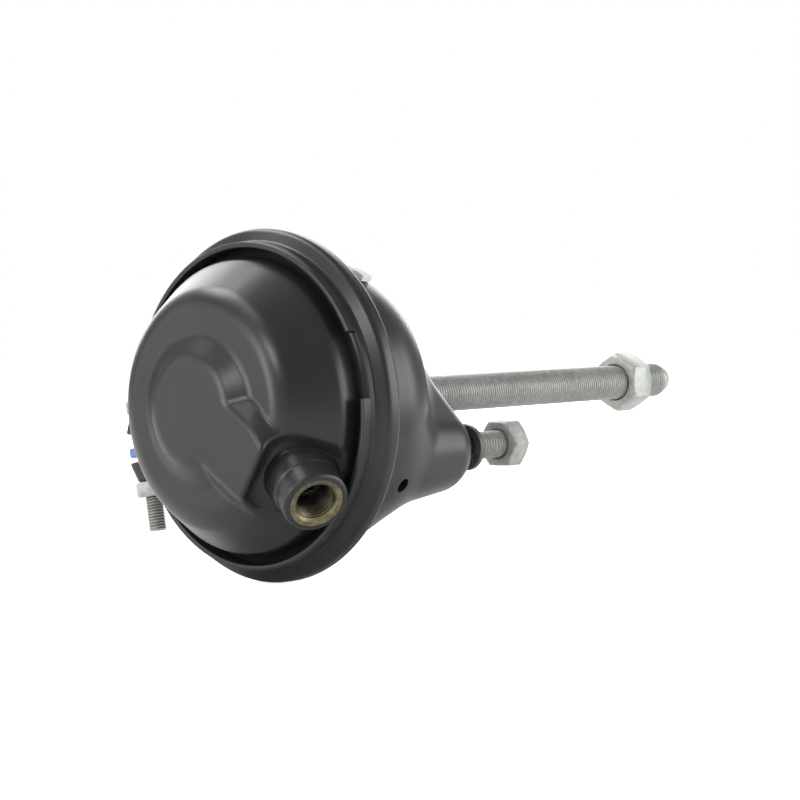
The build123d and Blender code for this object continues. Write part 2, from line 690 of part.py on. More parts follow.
def push_rod():
    """Push rod with a riveted spigot, a broad foot on the plate and a chamfered tip."""
    rod = turned_rod(
        (PUSH_PLATE_X, ROD_SPIGOT_D), (PUSH_PLATE_BACK_X, ROD_SPIGOT_D),
        (PUSH_PLATE_BACK_X, ROD_FOOT_D), (PUSH_PLATE_BACK_X + ROD_FOOT_HEIGHT, ROD_D),
        (ROD_END_X - ROD_CHAMFER_LENGTH, ROD_D), (ROD_END_X, ROD_D - 2 * ROD_CHAMFER),
    )
    return cross_plane(0, 0) * rod


def rod_lock_nut():
    """Lock nut near the end of the push rod, with one corner up."""
    nut = hex_nut(LOCK_NUT_AF, LOCK_NUT_HEIGHT, ROD_D + 2 * THREAD_GAP, 0)
    place = Plane(origin=(LOCK_NUT_X, 0, 0), x_dir=(0, 0, 1), z_dir=(1, 0, 0))
    return place * nut


def build_pieces():
    """Every piece of the chamber by name."""
    pieces = {
        "pressure_cap": pressure_cap(),
        "air_port": air_port(),
        "non_pressure_housing": non_pressure_housing(),
        "clamp_band": clamp_band(),
        "clamp_bolt": clamp_bolt(),
        "clamp_nut": clamp_nut(),
        "bolt_retainer": bolt_retainer(),
        "diaphragm": diaphragm(),
        "push_plate": push_plate(),
        "push_rod": push_rod(),
        "rod_lock_nut": rod_lock_nut(),
        "rod_guide": rod_guide(),
        "return_spring": return_spring(),
        "reinforcement_plate": reinforcement_plate(),
    }
    for number, centre in enumerate(stud_centres(), start=1):
        pieces[f"mounting_stud_{number}"] = mounting_stud(centre)
        pieces[f"stud_nut_{number}"] = stud_nut(centre)
        pieces[f"lock_washer_{number}"] = lock_washer(centre)
    planes = vent_planes()
    for number, index in enumerate(PLUGGED_VENTS, start=1):
        pieces[f"vent_plug_{number}"] = vent_plug(planes[index])
    return pieces


os.makedirs("parts", exist_ok=True)
for name, piece in build_pieces().items():
    export_step(piece, f"parts/{name}.step")
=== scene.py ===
"""Looks of a diaphragm brake chamber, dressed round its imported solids.

Lengths of the pieces are given in millimetres, as in the part's source, and are turned
into metres when a mesh is made. X runs out along the push rod and Z is up.
"""

import logging
import math
from dataclasses import dataclass
from enum import Enum
from functools import lru_cache
from typing import Callable, Sequence

import bmesh
import bpy
import numpy as np
from mathutils import Matrix


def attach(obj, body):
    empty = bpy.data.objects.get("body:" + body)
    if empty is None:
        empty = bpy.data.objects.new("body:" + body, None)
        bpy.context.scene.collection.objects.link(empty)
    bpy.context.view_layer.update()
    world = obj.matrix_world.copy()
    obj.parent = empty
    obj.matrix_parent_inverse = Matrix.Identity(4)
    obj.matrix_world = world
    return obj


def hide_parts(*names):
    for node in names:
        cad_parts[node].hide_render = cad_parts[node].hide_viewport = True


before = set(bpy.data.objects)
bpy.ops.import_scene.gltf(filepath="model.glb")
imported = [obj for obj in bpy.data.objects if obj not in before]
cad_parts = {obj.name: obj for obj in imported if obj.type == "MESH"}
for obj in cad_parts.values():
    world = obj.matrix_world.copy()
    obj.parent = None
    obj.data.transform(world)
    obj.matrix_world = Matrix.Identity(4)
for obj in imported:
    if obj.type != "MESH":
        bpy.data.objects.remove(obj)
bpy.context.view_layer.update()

LOG = logging.getLogger("brake_chamber")
Array = np.ndarray
Object = bpy.types.Object
MM = 0.001
CHAMBER = "chamber"
ROD = "push_rod_assembly"


# Shader tools

def operator(kind: str, swapped: bool = False) -> Callable:
    """A method that joins its two values in one Math node of a kind."""
    def apply(self: "Value", other: "Value | float") -> "Value":
        """The node's result."""
        pair = (other, self) if swapped else (self, other)
        return self.nodes.node("ShaderNodeMath", {"operation": kind}, pair)

    return apply


class Value:
    """A shader socket that takes part in sums; each operator adds one Math node."""

    __add__ = __radd__ = operator("ADD")
    __mul__ = __rmul__ = operator("MULTIPLY")
    __sub__ = operator("SUBTRACT")
    __rsub__ = operator("SUBTRACT", True)
    at_most = operator("MINIMUM")
    at_least = operator("MAXIMUM")

    def __init__(self, nodes: "Nodes", socket: bpy.types.NodeSocket) -> None:
        """Wraps a socket of a tree that is being built."""
        self.nodes = nodes
        self.socket = socket

    def clamp(self) -> "Value":
        """The value held between 0 and 1."""
        return self.at_most(1.0).at_least(0.0)

    def ramp(self, low: float, high: float) -> "Value":
        """0 below low, 1 above high and straight between them."""
        return ((self - low) * (1.0 / (high - low))).clamp()


class Nodes:
    """A shader tree under construction."""

    def __init__(self, tree: bpy.types.NodeTree) -> None:
        """Takes the tree of a material or a world."""
        self.tree = tree

    def node(self, kind: str, settings: dict | None = None,
             inputs: "Sequence | dict | None" = None, output: int | str = 0) -> Value:
        """Adds a node, sets its options, then its input values or links.

        Args:
            kind: type of the node.
            settings: attributes of the node, set first.
            inputs: values or links by place or by socket name.
            output: which output the result wraps.

        Returns:
            The wrapped output socket.
        """
        made = self.tree.nodes.new(kind)
        for key, value in (settings or {}).items():
            setattr(made, key, value)
        items = inputs.items() if isinstance(inputs, dict) else enumerate(inputs or [])
        for key, value in items:
            self.feed(made.inputs[key], value)
        return Value(self, made.outputs[output])

    def feed(self, socket: bpy.types.NodeSocket, value: "Value | float | tuple") -> None:
        """Links a value to a socket, or writes a plain number or colour on it."""
        if isinstance(value, Value):
            self.tree.links.new(value.socket, socket)
        else:
            socket.default_value = value

    def blend(self, factor: Value, low: "tuple | Value", high: "tuple | Value") -> Value:
        """Colour between two others by a factor."""
        inputs = {0: factor, 6: low, 7: high}
        return self.node("ShaderNodeMix", {"data_type": "RGBA"}, inputs, 2)

    def seen(self) -> Value:
        """1 for rays from the camera or through glass, else 0."""
        camera = self.node("ShaderNodeLightPath", output="Is Camera Ray")
        glass = self.node("ShaderNodeLightPath", output="Is Transmission Ray")
        return (camera + glass).clamp()


class Paint(Nodes):
    """One material under construction, with a Principled shader at its end."""

    def __init__(self, name: str) -> None:
        """Starts a material with a Principled shader and an output."""
        self.material = bpy.data.materials.new(name)
        self.material.use_nodes = True
        super().__init__(self.material.node_tree)
        self.shader = self.tree.nodes["Principled BSDF"]

    def noise(self, scale: float, detail: float = 2.0, roughness: float = 0.5) -> Value:
        """Noise over the object, in cycles per metre.

        Args:
            scale: features per metre.
            detail: octaves.
            roughness: share of each finer octave.

        Returns:
            The noise factor.
        """
        place = self.node("ShaderNodeTexCoord", output="Object")
        inputs = {"Vector": place, "Scale": scale, "Detail": detail, "Roughness": roughness}
        return self.node("ShaderNodeTexNoise", None, inputs)

    def painted_shade(self) -> Value:
        """The mesh's shade attribute: painted shade that grows from crest to root of a thread, and
        far down a bore.
        """
        return self.node("ShaderNodeAttribute", {"attribute_name": "painted_shade"}, output="Fac")

    def edges(self, radius: float) -> Value:
        """How far the surface turns within a radius: 0 on flats, up to 1 on edges.

        Args:
            radius: reach of the look-around, in metres.

        Returns:
            One minus the cosine between the true and the rounded normal, scaled.
        """
        soft = self.node("ShaderNodeBevel", {"samples": 6}, {"Radius": radius})
        true = self.node("ShaderNodeNewGeometry", output="Normal")
        cosine = self.node("ShaderNodeVectorMath", {"operation": "DOT_PRODUCT"},
                           [soft, true], "Value")
        return ((1.0 - cosine) * 4.0).clamp()

    def relief(self, height: Value, strength: float, distance: float,
               rounding: float = 0.0) -> None:
        """Feeds a bump, over edges rounded by a radius, to the shader's normal.

        Args:
            height: the bump's height.
            strength: share of the bump that shows.
            distance: real height of the bump in metres.
            rounding: radius of rounded edges in metres, 0 for none.
        """
        inputs: dict = {"Strength": strength, "Distance": distance, "Height": height}
        if rounding:
            inputs["Normal"] = self.node("ShaderNodeBevel", {"samples": 6}, {"Radius": rounding})
        self.set("Normal", self.node("ShaderNodeBump", None, inputs))

    def set(self, name: str, value: "Value | float | tuple") -> None:
        """Sets or links a socket of the Principled shader."""
        self.feed(self.shader.inputs[name], value)


# Finishes

@dataclass(frozen=True)
class SatinPaint:
    """Thin satin black paint over pressed steel, with dust and rubbed edges."""

    name: str = "satin_black_paint"
    dark: tuple = (0.0125, 0.0135, 0.0125, 1.0)
    light: tuple = (0.0195, 0.0210, 0.0195, 1.0)
    rubbed: tuple = (0.075, 0.078, 0.074, 1.0)
    gloss: float = 0.33
    rounding: float = 0.0006

    def make(self) -> bpy.types.Material:
        """Builds the material: cloudy black, fine orange peel and rubbed edges."""
        paint = Paint(self.name)
        cloud = paint.noise(26.0, 3.0)
        grain = paint.noise(900.0, 2.0)
        dust = paint.noise(2600.0, 2.0, 0.7).ramp(0.66, 0.80)
        wear = (paint.edges(0.0007) * paint.noise(240.0, 3.0).ramp(0.40, 0.68)).clamp()
        colour = paint.blend(cloud.ramp(0.3, 0.7), self.dark, self.light)
        colour = paint.blend(dust * 0.10 + wear * 0.30, colour, self.rubbed)
        paint.set("Base Color", colour)
        rough = self.gloss + (cloud - 0.5) * 0.12 + (grain - 0.5) * 0.10
        paint.set("Roughness", rough + wear * 0.08)
        paint.set("Specular IOR Level", 0.42)
        height = grain * 0.5 + paint.noise(330.0, 2.0) * 0.9 + paint.noise(55.0, 1.0) * 2.2
        paint.relief(height, 0.30, 0.00006, self.rounding)
        return paint.material


@dataclass(frozen=True)
class ZincCoat:
    """Dull galvanised steel with a faint mottle, and painted shade down in its threads."""

    name: str = "zinc_coat"
    pale: tuple = (0.44, 0.455, 0.425, 1.0)
    grey: tuple = (0.28, 0.292, 0.272, 1.0)
    # colour of the painted shade in the thread roots
    root_shade: tuple = (0.09, 0.094, 0.088, 1.0)
    gloss: float = 0.46
    metal: float = 0.45

    def make(self) -> bpy.types.Material:
        """Builds the material: mottled grey, with painted shade from the mesh's shade attribute in
        the thread roots.
        """
        paint = Paint(self.name)
        mottle = paint.noise(420.0, 4.0, 0.6)
        cloud = paint.noise(70.0, 2.0)
        painted_shade = paint.painted_shade()
        colour = paint.blend((mottle * 0.7 + cloud * 0.3).ramp(0.36, 0.64), self.grey, self.pale)
        # painted shade: the thread roots darkened
        colour = paint.blend((painted_shade * 0.75).clamp(), colour, self.root_shade)
        paint.set("Base Color", colour)
        paint.set("Metallic", self.metal)
        paint.set("Roughness", self.gloss + (mottle - 0.5) * 0.25 + painted_shade * 0.15)
        height = mottle + paint.noise(1800.0, 2.0) * 0.6
        paint.relief(height, 0.35, 0.00005, 0.0002)
        return paint.material


@dataclass(frozen=True)
class BareBrass:
    """Machined yellow metal, stained where it was handled."""

    name: str = "bare_brass"
    bright: tuple = (0.25, 0.215, 0.12, 1.0)
    stained: tuple = (0.10, 0.092, 0.062, 1.0)
    gloss: float = 0.36

    def make(self) -> bpy.types.Material:
        """Builds the material: stained yellow metal, with painted shade in the thread roots and far
        down the bore.
        """
        paint = Paint(self.name)
        stain = paint.noise(260.0, 4.0, 0.65)
        painted_shade = paint.painted_shade()
        colour = paint.blend(stain.ramp(0.38, 0.62), self.bright, self.stained)
        # painted shade: near black in the thread roots and far down the bore
        colour = paint.blend((painted_shade * 0.75).clamp(), colour, (0.012, 0.010, 0.007, 1.0))
        paint.set("Base Color", colour)
        paint.set("Metallic", 0.75)
        paint.set("Roughness", self.gloss + stain * 0.18)
        paint.relief(stain + paint.noise(1500.0, 2.0) * 0.5, 0.25, 0.00004)
        return paint.material


@dataclass(frozen=True)
class PlainFinish:
    """A finish of one tone with a mottle and a fine grain, for the small pieces."""

    name: str
    tone: tuple
    shade: tuple
    gloss: float
    metal: float = 0.0
    grain: float = 700.0
    depth: float = 0.00004

    def make(self) -> bpy.types.Material:
        """Builds the material: tone and shade mixed by noise, with a grainy bump."""
        paint = Paint(self.name)
        mottle = paint.noise(160.0, 3.0)
        fine = paint.noise(self.grain, 2.0)
        paint.set("Base Color", paint.blend(mottle.ramp(0.35, 0.65), self.shade, self.tone))
        paint.set("Metallic", self.metal)
        paint.set("Roughness", self.gloss + (fine - 0.5) * 0.15)
        paint.relief(fine + mottle * 0.5, 0.30, self.depth, 0.0003)
        return paint.material


SATIN = SatinPaint()
ZINC = ZincCoat()
BRASS = BareBrass()
BLACK_STEEL = PlainFinish("black_spring_steel", (0.105, 0.108, 0.101, 1.0),
                          (0.060, 0.063, 0.059, 1.0), 0.45, 0.3)
BLUE_PLASTIC = PlainFinish("blue_plastic", (0.105, 0.19, 0.44, 1.0),
                           (0.075, 0.145, 0.36, 1.0), 0.38)
PALE_PLASTIC = PlainFinish("pale_grey_plastic", (0.70, 0.71, 0.68, 1.0),
                           (0.60, 0.61, 0.58, 1.0), 0.42)
BLACK_PLASTIC = PlainFinish("black_plastic", (0.022, 0.022, 0.023, 1.0),
                            (0.014, 0.014, 0.015, 1.0), 0.50)
RUBBER = PlainFinish("diaphragm_rubber", (0.028, 0.027, 0.026, 1.0),
                     (0.018, 0.018, 0.018, 1.0), 0.78, 0.0, 1200.0, 0.00008)
PLATE_STEEL = PlainFinish("plate_steel", (0.30, 0.31, 0.30, 1.0),
                          (0.20, 0.205, 0.20, 1.0), 0.50, 0.7)


@lru_cache(maxsize=None)
def material(finish: "SatinPaint | ZincCoat | BareBrass | PlainFinish") -> bpy.types.Material:
    """The material of a finish, made when it is first asked for."""
    return finish.make()


# Mesh tools

class Ends(Enum):
    """What happens at the two ends of a grid's rows."""

    OPEN = "open"
    POLES = "poles"
    RING = "ring"


@dataclass(frozen=True)
class Place:
    """Where a piece stands: an origin, its local z and its local x, in the part's frame."""

    origin: tuple[float, float, float]
    z_dir: tuple[float, float, float]
    x_dir: tuple[float, float, float]

    def carry(self, local: Array) -> Array:
        """Local points turned and moved into the part's frame.

        Args:
            local: array (..., 3) in millimetres.

        Returns:
            Array of the same shape, origin + x X + y Y + z Z.
        """
        z = np.array(self.z_dir, float)
        z /= np.linalg.norm(z)
        x = np.array(self.x_dir, float)
        x -= z * (x @ z)
        x /= np.linalg.norm(x)
        return np.array(self.origin) + local @ np.array([x, np.cross(z, x), z])


def radial(angle: float) -> Array:
    """Unit direction away from the main axis at an angle round it, from +Y to +Z."""
    turn = math.radians(angle)
    return np.array([0.0, math.cos(turn), math.sin(turn)])


@dataclass
class Shell:
    """A grid of points with its faces, one closed or open surface of a piece."""

    points: Array
    ends: Ends = Ends.OPEN
    slots: Array | None = None
    # painted shade per point, for thread roots and bores
    painted_shade: Array | None = None
    drop: Array | None = None

    def faces(self) -> tuple[Array, Array]:
        """Vertex numbers of the quads, and the row of each.

        Columns always close on themselves. Rows stay open, close on themselves, or
        end in poles, where the first and last rows have shrunk to one point each.

        Returns:
            Quads (n, 4) and the row number of each.
        """
        rows, cols = self.points.shape[:2]
        count = rows if self.ends is Ends.RING else rows - 1
        row, col = np.meshgrid(np.arange(count), np.arange(cols), indexing="ij")
        if self.drop is not None:
            keep = ~self.drop[:count]
            row, col = row[keep], col[keep]
        row, col = row.ravel(), col.ravel()
        nxt, right = (row + 1) % rows, (col + 1) % cols
        quads = np.stack([row * cols + col, nxt * cols + col, nxt * cols + right,
                          row * cols + right], 1)
        return quads, row


def build(name: str, shells: Sequence[Shell], finishes: Sequence,
          crease: float = 35.0) -> Object:
    """Makes one object of several shells.

    Doubled points, such as the poles, are merged and the normals turned outwards.

    Args:
        name: name of the object and its mesh.
        shells: grids in millimetres in the part's frame.
        finishes: one for each slot of the piece.
        crease: edges sharper than this many degrees stay sharp.

    Returns:
        The new object, its place in its mesh.
    """
    points, quads, slots, painted_shades, offset = [], [], [], [], 0
    for shell in shells:
        count = shell.points.shape[0] * shell.points.shape[1]
        faces, rows = shell.faces()
        points.append(shell.points.reshape(-1, 3) * MM)
        quads.append(faces + offset)
        slots.append(np.zeros(len(rows), int) if shell.slots is None else shell.slots[rows])
        painted_shades.append(np.zeros(count) if shell.painted_shade is None else shell.painted_shade.ravel())
        offset += count
    mesh = bpy.data.meshes.new(name)
    mesh.from_pydata(np.concatenate(points).tolist(), [], np.concatenate(quads).tolist())
    mesh.polygons.foreach_set("material_index", np.concatenate(slots).astype(np.int32))
    # painted shade of thread roots and bores, kept per point
    layer = mesh.attributes.new("painted_shade", "FLOAT", "POINT")
    layer.data.foreach_set("value", np.concatenate(painted_shades).astype(np.float32))
    work = bmesh.new()
    work.from_mesh(mesh)
    bmesh.ops.remove_doubles(work, verts=work.verts, dist=1e-7)
    bmesh.ops.dissolve_degenerate(work, edges=work.edges, dist=1e-8)
    bmesh.ops.recalc_face_normals(work, faces=work.faces)
    work.to_mesh(mesh)
    work.free()
    for finish in finishes:
        mesh.materials.append(material(finish))
    mesh.shade_smooth()
    mesh.set_sharp_from_angle(angle=math.radians(crease))
    made = bpy.data.objects.new(name, mesh)
    bpy.context.scene.collection.objects.link(made)
    return made


def pressing(name: str, shell: Shell, centre_x: float, sheet: float) -> Object:
    """Pressed sheet: an open surface turned outwards and thickened inwards.

    Args:
        name: name of the piece.
        shell: its outer surface.
        centre_x: a point of the main axis that the faces look away from.
        sheet: thickness.

    Returns:
        The piece, its thickness a modifier.
    """
    made = build(name, [shell], [SATIN], 60)
    mesh = made.data
    normals, middles = np.zeros((2, len(mesh.polygons) * 3))
    mesh.polygons.foreach_get("normal", normals)
    mesh.polygons.foreach_get("center", middles)
    away = middles.reshape(-1, 3) - np.array([centre_x * MM, 0, 0])
    if np.sum(normals.reshape(-1, 3) * away) < 0:
        mesh.flip_normals()
    layer = made.modifiers.new("sheet", "SOLIDIFY")
    layer.thickness, layer.offset = sheet * MM, -1
    return made


def dress(piece: Object, node: str, body: str = CHAMBER) -> Object:
    """Ties a piece to its body and hides the solid that it stands for."""
    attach(piece, body)
    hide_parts(node)
    return piece


def circle(count: int) -> Array:
    """Angles evenly round a circle."""
    return np.arange(count) * (2 * math.pi / count)


def thread(axial: Array, angle: Array, pitch: float) -> Array:
    """Height of a screw thread, 0 at the root and 1 at the crest.

    The phase is axial / pitch - angle / one turn; the height is a triangle wave of it,
    stretched and clipped so that crest and root have narrow flats.

    Args:
        axial: station along the axis.
        angle: angle round the axis in radians.
        pitch: advance in one turn.

    Returns:
        The height, as broad as both inputs together.
    """
    phase = axial / pitch - angle / (2 * math.pi)
    wave = np.abs(2 * (phase - np.floor(phase)) - 1)
    return np.clip((wave - 0.12) / 0.76, 0, 1)


def rings(r: Array, angle: Array, z: Array) -> Array:
    """Points round local z from radii, angles and stations that broadcast together."""
    return np.stack(np.broadcast_arrays(r * np.cos(angle), r * np.sin(angle), z), -1)


def stacked(rows: Sequence[tuple], angle: Array) -> Array:
    """Points round local z, each row or block of rows given as its radii and stations."""
    r, z = (np.concatenate([row[part] + 0 * angle for row in rows]) for part in (0, 1))
    return rings(r, angle, z)


def capped(points: Array) -> Array:
    """Rows with one more at each end, all of it at the middle of the end row."""
    caps = points.mean(1, keepdims=True)[[0, -1]] + 0 * points[[0, -1]]
    return np.concatenate([caps[:1], points, caps[1:]])


def turned(stations: Sequence[float], radii: Sequence[float], place: Place,
           cols: int, ends: Ends = Ends.POLES) -> Shell:
    """Turned shell from stations and radii, each row a circle round local z."""
    z, r = np.array(stations)[:, None], np.array(radii)[:, None]
    return Shell(place.carry(rings(r, circle(cols)[None, :], z)), ends)


def screw(profile: Sequence[tuple[float, float]], span: tuple[float, float], pitch: float,
          depth: float, place: Place, cols: int = 40) -> Shell:
    """Turned rod with a thread cut over part of it.

    A row's radius is the profile's at its station, less depth x (1 - thread height)
    x a fade that grows from 0 to 1 over the first and last turn of the threaded span.

    Args:
        profile: station and radius pairs, steps given as two pairs at one station.
        span: first and last station of the thread.
        pitch: advance in one turn.
        depth: from crest to root.
        place: where the rod stands.
        cols: points round the rod.

    Returns:
        The rod as a shell with poles at both ends.
    """
    rows_per_turn = 8
    stations, radii = np.array(profile, float).T
    inner = np.linspace(*span, int((span[1] - span[0]) / pitch * rows_per_turn))
    before, after = stations < span[0], stations > span[1]
    z = np.concatenate([stations[before], inner, stations[after]])[:, None]
    r = np.concatenate([radii[before], np.interp(inner, stations, radii), radii[after]])[:, None]
    fade = np.clip(np.minimum(z - span[0], span[1] - z) / pitch, 0, 1)
    angle = circle(cols)[None, :]
    low = (1 - thread(z, angle, pitch)) * fade
    local = rings(r - depth * low * (r / r.max()), angle, z)
    tips = local[[0, -1]] * np.array([0, 0, 1.0])
    local = np.concatenate([tips[:1], local, tips[1:]])
    # painted shade in the thread roots, none at the end poles
    painted_shade = np.concatenate([low[:1] * 0, low, low[-1:] * 0])
    return Shell(place.carry(local), Ends.POLES, None, painted_shade)


def hexagon(across: float) -> tuple[Array, Array]:
    """Angles round a hexagon, ten to a side, and the radius at each of them."""
    angle = circle(60)[None, :]
    return angle, across / 2 / np.cos(np.mod(angle, math.pi / 3) - math.pi / 6)


def hexagonal(across: float, height: float, bore: float, place: Place,
              both_ends: bool = True) -> Shell:
    """Hexagon nut or head with its corners turned off by a 30 degree cone.

    At each end a side point drops by (its radius - ring) x tan 30. The rows run from
    the bore over one end, the sides and the other end back to the bore.

    Args:
        across: width across the flats.
        height: length along local z.
        bore: radius of the hole, 0 for none.
        place: where it stands, a corner on local x.
        both_ends: whether both ends are turned off.

    Returns:
        The shell, a ring of rows round a bore, or with poles where there is none.
    """
    bevel, soft = 0.8, 0.25
    slack = soft * 0.55
    angle, side = hexagon(across)
    ring = across / 2 * 0.955
    fall = (side - ring) * math.tan(math.radians(30))
    low = [(side - soft, 0), (side, soft)]
    if both_ends:
        low = [(ring, 0), (side - soft, fall - slack), (side, fall + soft)]
    sides = [*low, (side, height - fall - soft), (side - soft, height - fall + slack),
             (ring, height)]
    rows = [(0, 0), *sides, (0, height)]
    if bore:
        mouth = bore + bevel
        rows = [(bore, bevel), (mouth, 0), *sides, (mouth, height), (bore, height - bevel)]
    return Shell(place.carry(stacked(rows, angle)), Ends.RING if bore else Ends.POLES)


# Signed distances that are rounded where they meet

def both(a: Array, b: Array, bend: float) -> Array:
    """Inside of both forms, the edge between them rounded by about a bend.

    The larger distance, held below -bend, plus the length of the two overshoots.
    """
    bend = max(bend, 1e-6)
    return np.minimum(-bend, np.maximum(a, b)) + np.hypot(
        np.maximum(bend + a, 0), np.maximum(bend + b, 0))


def either(a: Array, b: Array, bend: float) -> Array:
    """Inside of either form, the hollow between them filled by about a bend."""
    return -both(-a, -b, bend)


def eased(bend: float, turn: float) -> float:
    """Blend size that gives a true bend radius between faces that turn by an angle."""
    half = math.radians(turn) / 2
    return bend * math.tan(half) * math.sin(2 * half)


def cast(form: Callable[[Array, Array, Array], Array], centre_x: float,
         polar: Array, around: Array, forward: int) -> Array:
    """Surface of a form as seen from a point on the main axis.

    Each point lies on a ray from the centre at a polar angle from the axis and an
    angle round it, at the distance where the form's signed distance is 0. Forty
    halvings of the interval find it for the whole grid at once.

    Args:
        form: signed distance of X, Y and Z.
        centre_x: the centre of the rays.
        polar: polar angles of the rows in radians.
        around: angles of the columns in radians.
        forward: +1 when the polar angle starts at +X, -1 when at -X.

    Returns:
        Points (rows, columns, 3).
    """
    polar, around = polar[:, None], around[None, :]
    way = np.stack(np.broadcast_arrays(forward * np.cos(polar), np.sin(polar) * np.cos(around),
                                       np.sin(polar) * np.sin(around)), -1)
    near, far = np.full(way.shape[:2], 5.0), np.full(way.shape[:2], 110.0)
    for _ in range(40):
        middle = (near + far) / 2
        point = way * middle[..., None]
        inside = form(point[..., 0] + centre_x, point[..., 1], point[..., 2]) < 0
        near, far = np.where(inside, middle, near), np.where(inside, far, middle)
    return way * near[..., None] + np.array([centre_x, 0, 0])


# Sizes shared by several pieces, the same as in the part's source

@dataclass(frozen=True)
class Layout:
    """Sizes of the joint, the port and the studs, each shared by several pieces."""

    joint_x: float = -78.0
    flange_r: float = 67.0
    flank: float = 26.0
    rim_bend: float = 0.4
    root_bend: float = 1.6
    band_r: float = 72.2
    band_width: float = 6.0
    band_sheet: float = 2.2
    seat_gap: float = 0.1
    slack: float = 0.05
    cap_sheet: float = 2.5
    housing_sheet: float = 3.0
    port_angle: float = -146.4
    port_tilt: float = 20.0
    port_face_x: float = -105.5
    port_face_r: float = 65.6
    port_length: float = 16.8
    pocket_tilt: float = 35.0
    stud_angle: float = -145.5
    stud_reach: float = 38.1

    def flanged(self, form: Array, x: Array, r: Array, wall_r: float, forward: int) -> Array:
        """Adds the flange whose clamped face leans against the band's flank.

        Args:
            form: signed distance of the cap or the housing without it.
            x: stations along the axis.
            r: radii.
            wall_r: radius of the wall that carries the flange.
            forward: +1 for the housing's flange, -1 for the cap's.

        Returns:
            Signed distance of both.
        """
        lean = math.radians(self.flank)
        off = (self.band_sheet + self.seat_gap) / math.cos(lean)
        tip = self.band_width / 2 - off + (self.band_r - wall_r) * math.tan(lean)
        along = forward * (x - self.joint_x) - tip
        clamped = along * math.cos(lean) + (r - wall_r) * math.sin(lean)
        return either(form, both(clamped, r - self.flange_r, self.rim_bend), self.root_bend)

    def port(self, depth: float = 0.0) -> Place:
        """Place across the port at a depth below its mouth, local x forward."""
        lean = math.radians(self.port_tilt)
        out = np.array([-math.sin(lean), 0, 0]) + radial(self.port_angle) * math.cos(lean)
        ahead = np.array([-math.cos(lean), 0, 0]) - radial(self.port_angle) * math.sin(lean)
        mouth = np.array([self.port_face_x, 0, 0]) + radial(self.port_angle) * self.port_face_r
        return Place(tuple(mouth - out * depth), tuple(out), tuple(ahead))

    def stud(self, side: int) -> Array:
        """Where a stud passes the mounting face."""
        return radial(self.stud_angle) * self.stud_reach * side


LAYOUT = Layout()


def in_plane(y: Array, z: Array, angle: float) -> tuple[Array, Array]:
    """Distances along a radial direction and across it, both square to the axis."""
    way, side = radial(angle), radial(angle + 90)
    return y * way[1] + z * way[2], y * side[1] + z * side[2]


# Sub-assemblies

